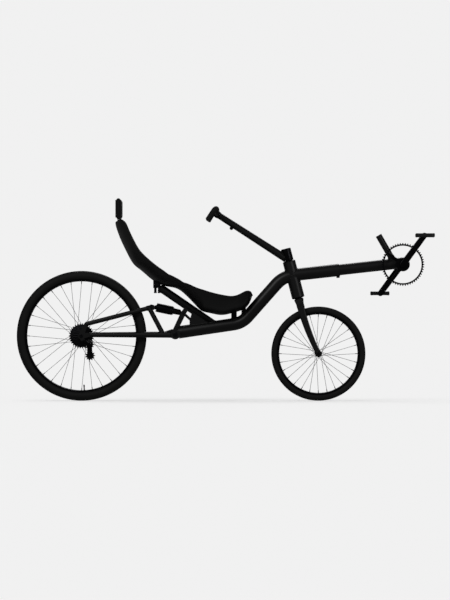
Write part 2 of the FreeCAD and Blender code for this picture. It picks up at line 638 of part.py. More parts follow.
def lower_stay_end(share):
    """A point on the right-hand lower stay's centre line, as (x, z) and distance off the middle plane."""
    x = LOWER_STAY_FROM[0] + share * (LOWER_STAY_TO[0] - LOWER_STAY_FROM[0])
    z = LOWER_STAY_FROM[1] + share * (LOWER_STAY_TO[1] - LOWER_STAY_FROM[1])
    return (x, z), LOWER_STAY_Y[0] + share * (LOWER_STAY_Y[1] - LOWER_STAY_Y[0])


def lower_stay_bar(less=0.0, first=0.0, last=1.0):
    """The right-hand lower stay, or its bore, between two shares of its length."""
    (start, start_y), (end, end_y) = lower_stay_end(first), lower_stay_end(last)
    radii = [LOWER_STAY_R[0] + share * (LOWER_STAY_R[1] - LOWER_STAY_R[0]) - less for share in (first, last)]
    return taper(at(start, start_y), at(end, end_y), *radii)


def lower_stays():
    """Tapered tubes from the dropouts to the pivot's lugs, closed at both ends."""
    lug = cross_rod(PIVOT, PIVOT_SHELL_R, 0, LUG_OUT * 2)
    shell = cross_rod(PIVOT, PIVOT_SHELL_R + SEATED, -LUG_IN, LUG_IN)
    stay = trimmed_stay(lower_stay_bar(), [dropout(1), lug, shell])
    return both_sides(stay.cut(lower_stay_bar(STAY_WALL, *LOWER_STAY_BORE)))


def pivot_lugs():
    """A round lug on the end of each lower stay, with a web that runs back along the top of the stay."""
    near, far = PIVOT_LUG_WEB_Y
    web = plate([(PIVOT[0] + x, PIVOT[1] + z) for x, z in PIVOT_LUG_WEB], LUG_IN + near, LUG_IN + far)
    lug = cross_rod(PIVOT, PIVOT_SHELL_R, LUG_IN, LUG_OUT).fuse(web.cut(lower_stay_bar()))
    lug = lug.cut(cross_rod(PIVOT, PIVOT_AXLE_R + TOUCH, LUG_IN - 1, LUG_OUT + 1))
    return both_sides(max(lug.Solids, key=lambda s: s.Volume))


def upper_stay_bar(less=0.0):
    return rod(at(UPPER_STAY_FROM, UPPER_STAY_Y[0]), at(UPPER_STAY_TO, UPPER_STAY_Y[1]), UPPER_STAY_R - less)


def upper_stays():
    stay = trimmed_stay(upper_stay_bar(), [upper_stay_bar(STAY_WALL), dropout(1)])
    return both_sides(stay)


def brace_bar(less=0.0):
    share = (BRACE_FOOT_X - LOWER_STAY_FROM[0]) / (PIVOT[0] - LOWER_STAY_FROM[0])
    foot, foot_y = lower_stay_end(share)
    return rod(at(BRACE_HEAD, UPPER_STAY_Y[1]), at(foot, foot_y), BRACE_R - less)


def swingarm_braces():
    brace = brace_bar().cut(brace_bar(STAY_WALL))
    brace = trimmed_stay(brace, [lower_stay_bar(), upper_stay_bar()])
    return both_sides(brace)


def shock_bridge():
    """The tube across the tops of the stays and the two tabs that hold the shock's rear eye."""
    bridge = cross_rod(UPPER_STAY_TO, UPPER_STAY_R - 1.0, -UPPER_STAY_Y[1] - 2, UPPER_STAY_Y[1] + 2)
    y_from = SHOCK_EYE_W / 2 + SEATED
    bridge = trimmed_stay(bridge, [both_sides(upper_stay_bar()), both_sides(brace_bar())])
    tab = rounded_bar(UPPER_STAY_TO, TAB_HEAD, UPPER_STAY_R + 2, TAB_HEAD_R, y_from, y_from + TAB_T)
    bridge = bridge.fuse(both_sides(tab).Solids)
    eye_room = cross_rod(REAR_EYE, SHOCK_EYE_R + SEATED, -y_from, y_from)
    return bridge.cut(eye_room).cut(cross_rod(REAR_EYE, SHOCK_BOLT_R + TOUCH, -SHOCK_EYE_W, SHOCK_EYE_W))


SHOCK_DIR = unit(REAR_EYE, FRONT_EYE)


def shock_can():
    """The air can with its rear eye."""
    can = rod(at(along(REAR_EYE, SHOCK_DIR, SHOCK_CAN[0])), at(along(REAR_EYE, SHOCK_DIR, SHOCK_CAN[1])),
              SHOCK_CAN_R)
    can = can.fuse(rod(at(REAR_EYE), at(along(REAR_EYE, SHOCK_DIR, SHOCK_CAN[0] + 1)), SHOCK_NECK_R))
    can = can.fuse(cross_rod(REAR_EYE, SHOCK_EYE_R, -SHOCK_EYE_W / 2, SHOCK_EYE_W / 2))
    return can.cut(cross_rod(REAR_EYE, SHOCK_BOLT_R + TOUCH, -SHOCK_EYE_W, SHOCK_EYE_W))


def shock_shaft():
    """The damper body that slides in the can, with the front eye."""
    end = at(along(FRONT_EYE, SHOCK_DIR, -SHOCK_NECK))
    shaft = rod(at(along(REAR_EYE, SHOCK_DIR, SHOCK_CAN[1] + TOUCH)), end, SHOCK_SHAFT_R)
    shaft = shaft.fuse(rod(end, at(FRONT_EYE), SHOCK_NECK_R))
    shaft = shaft.fuse(cross_rod(FRONT_EYE, SHOCK_EYE_R, -SHOCK_EYE_W / 2, SHOCK_EYE_W / 2))
    return shaft.cut(cross_rod(FRONT_EYE, SHOCK_BOLT_R + TOUCH, -SHOCK_EYE_W, SHOCK_EYE_W))


def shock_bolts():
    outer = SHOCK_EYE_W / 2 + SEATED + TAB_T
    end = outer + SHOCK_HEAD_T
    bolts = []
    for eye in (REAR_EYE, FRONT_EYE):
        bolt = cross_rod(eye, SHOCK_BOLT_R, -end, end)
        for side in (-1, 1):
            bolt = bolt.fuse(cross_rod(eye, SHOCK_BOLT_R * 1.7, side * outer, side * end))
        bolts.append(bolt)
    return Part.makeCompound(bolts)


def rear_axle():
    face = DROPOUT_IN + DROPOUT_T
    axle = cross_rod(REAR_AXLE, REAR_AXLE_R, -face - NUT_T, face + NUT_T)
    for side in (-1, 1):
        axle = axle.fuse(cross_rod(REAR_AXLE, REAR_NUT_R, side * face, side * (face + NUT_T)))
    return axle


# ---- seat carriers ------------------------------------------------------------------------------
def seat_front_mounts():
    """Two posts that stand on the main tube and carry the front of the bucket."""
    posts = []
    for ahead, length in POSTS:
        x = PIVOT[0] + ahead
        post = Part.makeBox(length, POST_HALF_W * 2, BEYOND, V(x - length / 2, -POST_HALF_W, main_line(x)))
        post = post.cut(MAIN_SOLID).cut(ENVELOPE).cut(SHELL)
        whole = [s for s in post.Solids if s.Volume > length ** 2]
        posts.append(min(whole, key=lambda s: s.CenterOfMass.z))
    return Part.makeCompound(posts)


def seat_rear_mount():
    """A block bored for the strut's top end and cut to the bucket, with two bolts that hang below it."""
    length, half_wide, tall = SADDLE
    radius, hang = SADDLE_BOLT
    tail_x, tail_z = SADDLE_TAIL
    block = Part.makeBox(length, half_wide * 2, tall, V(tail_x, -half_wide, tail_z))
    block = min(block.cut(ENVELOPE).cut(SHELL).Solids, key=lambda s: s.CenterOfMass.z)
    for ahead in SADDLE_BOLTS:
        block = block.fuse(Part.makeCylinder(radius, hang + 1, V(tail_x + ahead, 0, tail_z - hang)))
    return block.cut(STRUT_SOLID)


# ---- headrest -----------------------------------------------------------------------------------
def headrest_bracket():
    """A strap bolted inside the top of the bucket, bent upright into the headrest's back plate."""
    x, z = HEADREST
    thick, wide, tall = HEADREST_SIZE
    plate_t, share = HEADREST_PLATE
    plate_x = x - thick / 2 - SEATED - plate_t
    heights = (SHELL_T + STRAP_RISE, SHELL_T + STRAP_RISE + STRAP_T)
    near, far = [[seat_point(SEAT_SECTIONS[i], 0, height) for i in (1, 0)] for height in heights]
    near += [V(plate_x, 0, z + tall * run) for run in STRAP_RUN]
    far += [near[2] + V(STRAP_T, 0, 0), near[3] + V(STRAP_T, 0, 0)]
    outline = near + far[::-1]
    strap = Part.Face(Part.makePolygon(outline + outline[:1])).extrude(V(0, STRAP_W, 0))
    strap.translate(V(0, -STRAP_W / 2, 0))
    wide, tall = wide * share, tall * share
    back = Part.makeBox(plate_t, wide, tall, V(plate_x, -wide / 2, z - tall / 2))
    return strap.fuse(back)


def headrest_pad():
    x, z = HEADREST
    thick, wide, tall = HEADREST_SIZE
    pad = Part.makeBox(thick, wide, tall, V(x - thick / 2, -wide / 2, z - tall / 2))
    along_edges = [e for e in pad.Edges if abs(e.Vertexes[0].Y - e.Vertexes[1].Y) > 1]
    pad = pad.makeFillet(thick * 0.45, along_edges)
    return pad.cut(headrest_bracket())


# ---- derailleur ---------------------------------------------------------------------------------
def derailleur_body():
    """The parallelogram, outboard of the hanger and the cage."""
    face = -DROPOUT_IN - DROPOUT_T
    near, far = face - LINK_Y[0], face - LINK_Y[1]
    cage_face = -CAGE_Y - PULLEY_T / 2 - CAGE_PLATE_T - SEATED * 2
    body = cross_rod(HANGER, HANGER_BOLT_R, face, far)
    body = body.fuse(rounded_bar(HANGER, GUIDE_PULLEY, LINK_R, LINK_R, near, far))
    return body.fuse(cross_rod(GUIDE_PULLEY, LINK_R, cage_face, far))


def derailleur_cage():
    """Two plates, one each side of the pulleys, held apart by the pulleys' bolts."""
    near, far = PULLEY_T / 2 + SEATED, PULLEY_T / 2 + SEATED + CAGE_PLATE_T
    outer = rounded_bar(GUIDE_PULLEY, TENSION_PULLEY, *CAGE_R, -CAGE_Y - near, -CAGE_Y - far)
    inner = rounded_bar(GUIDE_PULLEY, TENSION_PULLEY, *CAGE_R, -CAGE_Y + near, -CAGE_Y + far)
    cage = outer.fuse(inner)
    for pulley in (GUIDE_PULLEY, TENSION_PULLEY):
        cage = cage.fuse(cross_rod(pulley, PULLEY_BOLT_R, -CAGE_Y - near, -CAGE_Y + near))
    return cage


def jockey_wheels():
    wheels = []
    for pulley in (GUIDE_PULLEY, TENSION_PULLEY):
        disc = sprocket(pulley, PULLEY_TEETH, -CAGE_Y - PULLEY_T / 2, -CAGE_Y + PULLEY_T / 2)
        bore = cross_rod(pulley, PULLEY_BOLT_R + TOUCH, -CAGE_Y - PULLEY_T, -CAGE_Y + PULLEY_T)
        wheels.append(disc.cut(bore))
    return Part.makeCompound(wheels)


# ---- boom and drive -----------------------------------------------------------------------------
BOOM_R = MAIN_R - MAIN_WALL - SLIDING
RING_IN = pitch_radius(RING_TEETH) - TOOTH[0] - RING_BAND
BB_SHELL = cross_rod(BB, BB_SHELL_R, -BB_SHELL_W / 2, BB_SHELL_W / 2)


def boom_tube():
    start, end = at(along(MOUTH, BOOM_DIR, -BOOM_INSERT)), at(BOOM_END)
    tube = tapered_tube(start, end, BOOM_R, BOOM_R, BOOM_WALL)
    tube = tube.cut(BB_SHELL)
    return max(tube.Solids, key=lambda s: s.Volume)


def bb_shell():
    return BB_SHELL.cut(cross_rod(BB, BB_UNIT_R + TOUCH, -BB_SHELL_W, BB_SHELL_W))


def bb_unit():
    face, end = BB_SHELL_W / 2, BB_SHELL_W / 2 + BB_LIP[1]
    unit_body = cross_rod(BB, BB_UNIT_R, -face, face)
    for side in (-1, 1):
        unit_body = unit_body.fuse(cross_rod(BB, BB_UNIT_R + BB_LIP[0], side * face, side * end))
    return unit_body.cut(cross_rod(BB, BB_SPINDLE_R + RUNNING, -BB_SHELL_W, BB_SHELL_W))


POST_DIR = (-sin(radians(POST_LEAN)), cos(radians(POST_LEAN)))
POST_FOOT = along(BB, BOOM_DIR, -POST_BEHIND)
POST_TOP = along(POST_FOOT, POST_DIR, POST_L)


def derailleur_post():
    """A tube, open at its top and solid at its foot, where a collar of weld joins it to the boom."""
    collar_r, collar_h = POST_COLLAR
    start, top = at(POST_FOOT), at(POST_TOP)
    boom = rod(at(along(MOUTH, BOOM_DIR, 1)), at(BOOM_END), BOOM_R)
    collar = rod(start, at(along(POST_FOOT, POST_DIR, collar_h)), collar_r)
    post = trimmed_stay(rod(start, top, POST_R).fuse(collar), [boom, BB_SHELL])
    bore_foot = at(along(POST_FOOT, POST_DIR, BOOM_R * 2))
    return post.cut(rod(bore_foot, at(along(POST_TOP, POST_DIR, 1)), POST_R - POST_WALL))


def bb_spindle():
    return cross_rod(BB, BB_SPINDLE_R, -CRANK_Y - CRANK_T + 1, CRANK_Y + CRANK_T - 1)


def crank(side, pedal):
    """One arm with its boss; the right one carries the spider."""
    arm = rounded_bar(BB, pedal, CRANK_R[0], CRANK_R[1], side * CRANK_Y, side * (CRANK_Y + CRANK_T))
    arm = arm.fuse(cross_rod(BB, CRANK_R[0], side * (BB_SHELL_W / 2 + CRANK_BOSS_GAP), side * CRANK_Y))
    if side < 0:
        y_from, y_to = -RING_Y - RING_T - TOUCH, -CRANK_Y
        arm = arm.fuse(cross_rod(BB, SPIDER_BOSS_R, y_from, y_to))
        for turn in SPIDER_ARMS:
            angle = radians(CRANK_ANGLE + turn)
            foot = along(BB, (cos(angle), sin(angle)), RING_IN - 1 + SPIDER_ARM_W / 2)
            arm = arm.fuse(rounded_bar(BB, foot, SPIDER_ARM_W, SPIDER_ARM_W / 2, y_from, y_to))
    return arm.cut(cross_rod(BB, BB_SPINDLE_R + TOUCH, -CRANK_Y * 2, CRANK_Y * 2))


def right_crank():
    return crank(-1, RIGHT_PEDAL)


def left_crank():
    return crank(1, LEFT_PEDAL)


def chainring():
    disc = sprocket(BB, RING_TEETH, -RING_Y - RING_T, -RING_Y)
    return disc.cut(cross_rod(BB, RING_IN, -RING_Y - RING_T * 2, -RING_Y + RING_T))


def pedal_spindles():
    spindles = []
    for side, pedal in ((-1, RIGHT_PEDAL), (1, LEFT_PEDAL)):
        face = CRANK_Y + CRANK_T
        end = face + PEDAL_GAP + PEDAL_SIZE[1] - PEDAL_END
        spindles.append(cross_rod(pedal, PEDAL_SPINDLE_R, side * face, side * end))
    return Part.makeCompound(spindles)


def pedal(side, centre):
    """A flat platform pedal: a frame round a barrel, with a spindle bore that is closed at its outer end."""
    length, width, height = PEDAL_SIZE
    near = CRANK_Y + CRANK_T + PEDAL_GAP
    y_low = near if side > 0 else -near - width

    def block(dx, dy, dz):
        return Part.makeBox(length - 2 * dx, width - 2 * dy, dz,
                            V(centre[0] - length / 2 + dx, y_low + dy, centre[1] - dz / 2))

    frame = block(0, 0, height)
    ends = [e for e in frame.Edges if abs(e.Vertexes[0].Y - e.Vertexes[1].Y) > 1]
    frame = frame.makeFillet(height * PEDAL_ROUND, ends)
    frame = frame.cut(block(PEDAL_RAIL, PEDAL_RAIL, height + 2))
    frame = frame.fuse(cross_rod(centre, PEDAL_BARREL_R, y_low, y_low + width))
    bore_end = near + width - PEDAL_END + 1
    return frame.cut(cross_rod(centre, PEDAL_SPINDLE_R + RUNNING, side * (near - 1), side * bore_end))


def right_pedal():
    return pedal(-1, RIGHT_PEDAL)


def left_pedal():
    return pedal(1, LEFT_PEDAL)


# ---- wheels -------------------------------------------------------------------------------------
def rim(centre, bead_r, width):
    half, low, high = width / 2, bead_r - RIM_FLOOR, bead_r + RIM_FLANGE
    inner = half - RIM_WALL
    return spun(centre, [(-half, low), (half, low), (half, high), (inner, high), (inner, bead_r),
                         (-inner, bead_r), (-inner, high), (-half, high)])


def tyre(centre, bead_r, tyre_w, rim_w):
    """A tyre, open towards the rim, whose beads drop between the rim's flanges."""
    section_r = tyre_w / 2
    middle, foot = bead_r + tyre_w - section_r, bead_r + RIM_FLANGE + TOUCH
    neck, bead = rim_w / 2 - RIM_WALL - TOUCH, bead_r + TOUCH
    inner_r, inner_side = section_r - TYRE_T, neck - TYRE_T
    reach = acos((foot - middle) / section_r)
    inner_reach = pi - asin(inner_side / inner_r)
    outer_angles = [reach * i / TYRE_FACETS for i in range(-TYRE_FACETS, TYRE_FACETS + 1)]
    inner_angles = [inner_reach * i / 2 for i in (2, 1, 0, -1, -2)]
    outer = [(section_r * sin(angle), middle + section_r * cos(angle)) for angle in outer_angles]
    inner = [(inner_r * sin(angle), middle + inner_r * cos(angle)) for angle in inner_angles]
    beads = [(neck, foot), (neck, bead), (inner_side, bead)]
    return spun(centre, outer + beads + inner + [(-y, radius) for y, radius in reversed(beads)])


def spokes(centre, count, crosses, flanges, hole_r, rim_r):
    """Crossed spokes: on each side every other spoke leaves the outer face of its flange and leans
    forward, and the rest leave the inner face and lean back."""
    made, per_side = [], count // 2
    lean = crosses * 2 * pi / per_side
    off_face = (FLANGE_T + SPOKE_R) / 2
    for which, flange_y in enumerate(flanges):
        outward = 1 if flange_y > 0 else -1
        for i in range(per_side):
            angle = 2 * pi * (i + which / 2) / per_side
            face = outward if i % 2 == 0 else -outward
            rim_angle = angle + (lean if i % 2 == 0 else -lean)
            start = at(along(centre, (cos(angle), sin(angle)), hole_r), flange_y + face * off_face)
            end = at(along(centre, (cos(rim_angle), sin(rim_angle)), rim_r + SPOKE_R), outward * SPOKE_SEAT_Y)
            made.append(rod(start, end, SPOKE_R))
    discs = [cross_rod(centre, hole_r + FLANGE_EDGE, y - FLANGE_T / 2, y + FLANGE_T / 2) for y in flanges]
    laced = Part.makeCompound(made).cut(discs)
    return laced.common(cross_rod(centre, rim_r, flanges[1] - FLANGE_T * 2, flanges[0] + FLANGE_T * 2))


def hub(centre, width, flanges, flange_r, barrel_r, bore_r, freehub=0.0):
    """A hub shell between its locknuts, with two spoke flanges and, on the right, a freehub body."""
    end = width / 2
    left, right = flanges
    body = cross_rod(centre, barrel_r, right, left)
    for y in flanges:
        body = body.fuse(cross_rod(centre, flange_r, y - FLANGE_T / 2, y + FLANGE_T / 2))
    body = body.fuse(cross_rod(centre, bore_r + LOCKNUT_WALL, -end, end))
    if freehub:
        body = body.fuse(cross_rod(centre, FREEHUB_R, right, -CASSETTE_Y - freehub))
    return body.cut(cross_rod(centre, bore_r + RUNNING, -end - 1, end + 1))


CASSETTE_W = SPROCKET_STEP * (len(SPROCKETS) - 1) + SPROCKET_T


def cassette():
    stack = None
    for step, teeth in enumerate(SPROCKETS):
        y_from = -CASSETTE_Y - step * SPROCKET_STEP
        disc = sprocket(REAR_AXLE, teeth, y_from, y_from - SPROCKET_T)
        stack = disc if stack is None else stack.fuse(disc)
    near, far = -CASSETTE_Y, -CASSETTE_Y - CASSETTE_W
    stack = stack.fuse(cross_rod(REAR_AXLE, CARRIER_R, near, far))
    return stack.cut(cross_rod(REAR_AXLE, FREEHUB_R + TOUCH, near + 1, far - 1))


# ---- fork and tiller ----------------------------------------------------------------------------
def axis_frame(distance, y=0.0, ahead=0.0):
    """A point beside the steering axis: ahead of it and square to it, y off the middle plane."""
    return at(along(on_axis(distance), AXIS_AHEAD, ahead), y)


def obround(centre, ahead_dir, length, width):
    """A section with round ends, its length along ahead_dir and its width across the bicycle."""
    half, r = (length - width) / 2, width / 2
    a, across = ahead_dir, V(0, 1, 0)
    front, back = centre + a * half, centre - a * half
    return Part.Wire([
        Part.LineSegment(back + across * r, front + across * r).toShape(),
        Part.Arc(front + across * r, front + a * r, front - across * r).toShape(),
        Part.LineSegment(front - across * r, back - across * r).toShape(),
        Part.Arc(back - across * r, back - a * r, back + across * r).toShape(),
    ])


def steerer():
    foot, bore_foot = at(on_axis(CROWN_HIGH)), at(on_axis(CROWN_HIGH + RACE_H))
    top = STEM_FOOT + STEM_H - STEM_CAP
    tube = rod(foot, at(on_axis(top)), STEERER_R)
    race = rod(foot, bore_foot, STEERER_R + RACE_EDGE)
    bore = rod(bore_foot, at(on_axis(top + 1)), STEERER_R - STEERER_WALL)
    return tube.fuse(race).cut(bore)


def fork_crown():
    """A forging that widens across the bicycle and narrows along it, down to the blades."""
    ahead = at(AXIS_AHEAD)

    def section(distance, size):
        centre, half, r = at(on_axis(distance)), size[0] / 2, size[1] / 2
        corners = [centre + ahead * (sx * half) + V(0, sy * r, 0)
                   for sx, sy in ((-1, -1), (1, -1), (1, 1), (-1, 1))]
        return Part.makePolygon(corners + corners[:1])

    shoulder = CROWN_LOW + CROWN_H * CROWN_SHOULDER
    return Part.makeLoft([section(CROWN_LOW, CROWN_FOOT), section(shoulder, CROWN_FOOT),
                          section(CROWN_HIGH, CROWN_TOP)], True, True)


def blade_point(share):
    """A blade from crown (0) to axle (1): its centre up the steering axis, ahead and across, and its tilt."""
    to_axle = (FRONT_AXLE[0] - AXIS_FOOT[0], FRONT_AXLE[1])
    axle_up = to_axle[0] * AXIS_UP[0] + to_axle[1] * AXIS_UP[1]
    offset = to_axle[0] * AXIS_UP[1] - to_axle[1] * AXIS_UP[0]
    drop = CROWN_LOW - axle_up
    tip_y = FRONT_TIP_IN + TIP_T / 2
    tilt = atan2(2 * offset * share, drop)
    return CROWN_LOW - share * drop, offset * share ** 2, CROWN_SPREAD + share * (tip_y - CROWN_SPREAD), tilt


def fork_blades():
    """Blades that start along the steering axis and curve forward to the axle."""
    wires = []
    for i in range(BLADE_STATIONS):
        share = BLADE_SHARE * i / (BLADE_STATIONS - 1)
        up, ahead, y, tilt = blade_point(share)
        square = at(AXIS_AHEAD) * cos(tilt) + at(AXIS_UP) * sin(tilt)
        length = BLADE_TOP[0] + share * (BLADE_TIP[0] - BLADE_TOP[0])
        width = BLADE_TOP[1] + share * (BLADE_TIP[1] - BLADE_TOP[1])
        wires.append(obround(axis_frame(up, y, ahead), square, length, width))
    blade = Part.makeLoft(wires, True, True)
    blade = blade.cut(cross_rod(FRONT_AXLE, TIP_R, 0, FRONT_HUB_W))
    return both_sides(max(blade.Solids, key=lambda s: s.Volume))


def fork_ends():
    return both_sides(ring(FRONT_AXLE, TIP_R, FRONT_AXLE_R + TOUCH, FRONT_TIP_IN, FRONT_TIP_IN + TIP_T))


def front_axle():
    face = FRONT_TIP_IN + TIP_T
    axle = cross_rod(FRONT_AXLE, FRONT_AXLE_R, -face - NUT_T, face + NUT_T)
    for side in (-1, 1):
        axle = axle.fuse(cross_rod(FRONT_AXLE, FRONT_NUT_R, side * face, side * (face + NUT_T)))
    return axle


STEM_SOLID = rod(at(on_axis(STEM_FOOT)), at(on_axis(STEM_FOOT + STEM_H)), STEM_R)


def stem():
    bore = rod(at(on_axis(STEM_FOOT - 1)), at(on_axis(STEM_FOOT + STEM_H - STEM_CAP)), STEERER_R + TOUCH)
    return STEM_SOLID.cut(bore)


def tiller_radius(distance):
    return TILLER_ROOT_R + (TILLER_TIP_R - TILLER_ROOT_R) * distance / TILLER_L


def tiller_bar(start, end, less=0.0):
    """The tiller's outside, or its bore, from one distance along it to another."""
    points = [at(along(TILLER_ROOT, TILLER_DIR, distance)) for distance in (start, end)]
    return taper(*points, tiller_radius(start) - less, tiller_radius(end) - less)


def tiller_tube():
    """A tapered tube, closed at the stem and at the bar clamp, with a clamp boss underneath."""
    solid_end = STEM_R * 1.6
    head_room = rod(at(on_axis(HEAD_HIGH - HEAD_R)), at(on_axis(STEM_FOOT)), HEAD_R + HEAD_GAP)
    clamp_room = cross_rod(TILLER_TIP, BAR_CLAMP_R, -BAR_CLAMP_W, BAR_CLAMP_W)
    tube = trimmed_stay(tiller_bar(0.0, TILLER_L), [STEM_SOLID, head_room, clamp_room])
    on_tiller = along(TILLER_ROOT, TILLER_DIR, BOSS_AT)
    boss = rounded_bar(on_tiller, along(on_tiller, TILLER_DOWN, BOSS_DROP), BOSS_R * 1.3, BOSS_R,
                       -BOSS_W / 2, BOSS_W / 2)
    return tube.fuse(boss).cut(tiller_bar(solid_end, TILLER_L - solid_end, TILLER_WALL))


def bar_clamp():
    return ring(TILLER_TIP, BAR_CLAMP_R, BAR_R + TOUCH, -BAR_CLAMP_W / 2, BAR_CLAMP_W / 2)


def bar_points(side):
    """The bar's corners: straight across the clamp, up to a corner, then down to its end."""
    corner = along(along(TILLER_TIP, TILLER_DIR, BAR_BACK), TILLER_DOWN, -BAR_RISE)
    end = along(corner, TILLER_DOWN, BAR_DROP)
    return [at(TILLER_TIP, 0), at(TILLER_TIP, side * BAR_STRAIGHT), at(corner, side * BAR_CORNER_Y),
            at(end, side * BAR_END_Y)]


def handlebar():
    halves = [bent_rod(bar_points(side), [BAR_SWEEP_R, BAR_BEND_R], BAR_R) for side in (-1, 1)]
    return halves[0].fuse(halves[1])


def grips():
    made = []
    for side in (-1, 1):
        points = bar_points(side)
        back = (points[1] - points[2]).normalize()
        start, end = points[2] + back * GRIP_LEAD, points[3] + (points[3] - points[2]).normalize() * GRIP_END
        outer = bent_rod([start, points[2], end], [BAR_BEND_R], GRIP_R)
        bore = bent_rod([start + back, points[2], points[3]], [BAR_BEND_R], BAR_R + TOUCH)
        made.append(outer.cut(bore))
    return Part.makeCompound(made)


PIECES = {
    "main_tube": main_tube, "head_tube": head_tube, "headset_cups": headset_cups, "boom_clamp": boom_clamp,
    "seat_strut": seat_strut, "shock_tower": shock_tower, "pivot_shell": pivot_shell,
    "pivot_axle": pivot_axle, "dropouts": dropouts, "lower_stays": lower_stays, "pivot_lugs": pivot_lugs,
    "upper_stays": upper_stays, "swingarm_braces": swingarm_braces, "shock_bridge": shock_bridge,
    "shock_can": shock_can, "shock_shaft": shock_shaft, "shock_bolts": shock_bolts, "rear_axle": rear_axle,
    "seat_shell": seat_shell, "seat_pad": seat_pad, "seat_front_mounts": seat_front_mounts,
    "seat_rear_mount": seat_rear_mount, "headrest_bracket": headrest_bracket, "headrest_pad": headrest_pad,
    "derailleur_body": derailleur_body, "derailleur_cage": derailleur_cage, "jockey_wheels": jockey_wheels,
    "boom_tube": boom_tube, "bb_shell": bb_shell, "bb_unit": bb_unit, "derailleur_post": derailleur_post,
    "bb_spindle": bb_spindle, "right_crank": right_crank, "left_crank": left_crank,
    "chainring": chainring, "pedal_spindles": pedal_spindles, "right_pedal": right_pedal,
    "left_pedal": left_pedal,
    "rear_tyre": lambda: tyre(REAR_AXLE, REAR_BEAD_R, REAR_TYRE_W, REAR_RIM_W),
    "rear_rim": lambda: rim(REAR_AXLE, REAR_BEAD_R, REAR_RIM_W),
    "rear_spokes": lambda: spokes(REAR_AXLE, REAR_SPOKES, REAR_CROSSES, REAR_FLANGES,
                                  REAR_FLANGE_R - FLANGE_EDGE, REAR_BEAD_R - RIM_FLOOR),
    "rear_hub": lambda: hub(REAR_AXLE, REAR_HUB_W, REAR_FLANGES, REAR_FLANGE_R, REAR_BARREL_R, REAR_AXLE_R,
                            CASSETTE_W),
    "cassette": cassette,
    "front_tyre": lambda: tyre(FRONT_AXLE, FRONT_BEAD_R, FRONT_TYRE_W, FRONT_RIM_W),
    "front_rim": lambda: rim(FRONT_AXLE, FRONT_BEAD_R, FRONT_RIM_W),
    "front_spokes": lambda: spokes(FRONT_AXLE, FRONT_SPOKES, FRONT_CROSSES, FRONT_FLANGES,
                                   FRONT_FLANGE_R - FLANGE_EDGE, FRONT_BEAD_R - RIM_FLOOR),
    "front_hub": lambda: hub(FRONT_AXLE, FRONT_HUB_W, FRONT_FLANGES, FRONT_FLANGE_R, FRONT_BARREL_R,
                             FRONT_AXLE_R),
    "steerer": steerer, "fork_crown": fork_crown, "fork_blades": fork_blades, "fork_ends": fork_ends,
    "front_axle": front_axle, "stem": stem, "tiller_tube": tiller_tube, "bar_clamp": bar_clamp,
    "handlebar": handlebar, "grips": grips,
}


def main():
    os.makedirs("parts", exist_ok=True)
    for name, make in PIECES.items():
        shape = make().copy()
        shape.translate(V(-ORIGIN[0], 0, -ORIGIN[1]))
        solids = shape.Solids
        print(f"{name}: {len(solids)} solid(s), {sum(s.Volume for s in solids) / 1000:.1f} cm3, "
              f"valid {all(s.isValid() for s in solids)}")
        shape.exportStep(os.path.join("parts", name + ".step"))


main()
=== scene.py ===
# %% [markdown]
# # A recumbent bicycle, dressed for a studio render
# The construction comes in ready-made as a frame of solids in metres. Each cell below adds one
# finish or one piece to it. The bicycle faces +X, its left side is +Y, and +Z is up.

# %% Load the solids
import json
import math

import bmesh
import bpy
import numpy as np
from mathutils.bvhtree import BVHTree
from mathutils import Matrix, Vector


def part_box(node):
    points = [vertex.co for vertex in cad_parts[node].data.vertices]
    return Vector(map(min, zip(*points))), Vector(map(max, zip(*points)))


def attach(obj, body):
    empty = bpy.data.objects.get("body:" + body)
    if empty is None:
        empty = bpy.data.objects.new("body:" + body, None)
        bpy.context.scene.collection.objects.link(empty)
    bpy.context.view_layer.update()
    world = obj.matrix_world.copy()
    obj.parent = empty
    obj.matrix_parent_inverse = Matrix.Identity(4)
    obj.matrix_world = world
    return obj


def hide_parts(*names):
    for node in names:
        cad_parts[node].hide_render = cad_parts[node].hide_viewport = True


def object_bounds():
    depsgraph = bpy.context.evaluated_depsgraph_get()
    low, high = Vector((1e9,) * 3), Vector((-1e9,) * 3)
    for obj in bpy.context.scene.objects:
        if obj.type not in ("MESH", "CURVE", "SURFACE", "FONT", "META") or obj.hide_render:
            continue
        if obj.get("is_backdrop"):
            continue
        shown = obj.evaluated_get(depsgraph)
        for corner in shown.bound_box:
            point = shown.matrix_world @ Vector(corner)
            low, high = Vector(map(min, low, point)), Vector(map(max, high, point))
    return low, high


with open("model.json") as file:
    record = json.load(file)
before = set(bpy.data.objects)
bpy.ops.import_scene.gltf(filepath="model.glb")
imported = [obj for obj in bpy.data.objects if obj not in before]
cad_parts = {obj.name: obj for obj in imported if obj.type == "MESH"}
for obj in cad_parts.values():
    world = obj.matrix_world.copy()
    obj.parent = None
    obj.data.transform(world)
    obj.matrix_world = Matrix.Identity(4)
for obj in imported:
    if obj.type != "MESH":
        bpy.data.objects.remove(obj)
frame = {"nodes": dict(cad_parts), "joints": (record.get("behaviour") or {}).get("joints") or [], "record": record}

solids_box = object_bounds()
BODY_OF = {node: body for body, nodes in frame["record"]["behaviour"]["bodies"].items() for node in nodes}
SLOT_OF = {part["node"]: part["material_slot"] for part in frame["record"]["subparts"]}

# %% [markdown]
# ## Where things are
# A solid that is round about a cross shaft has its shaft in the middle of its own box, so the
# places that the new pieces need are read from the solids. All lengths are in metres.


# %% Read places from the solids
def middle(node):
    """The middle of a solid's box, as an array."""
    low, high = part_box(node)
    return (np.array(low) + np.array(high)) / 2


def half_size(node):
    """Half the size of a solid's box, as an array."""
    low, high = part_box(node)
    return (np.array(high) - np.array(low)) / 2


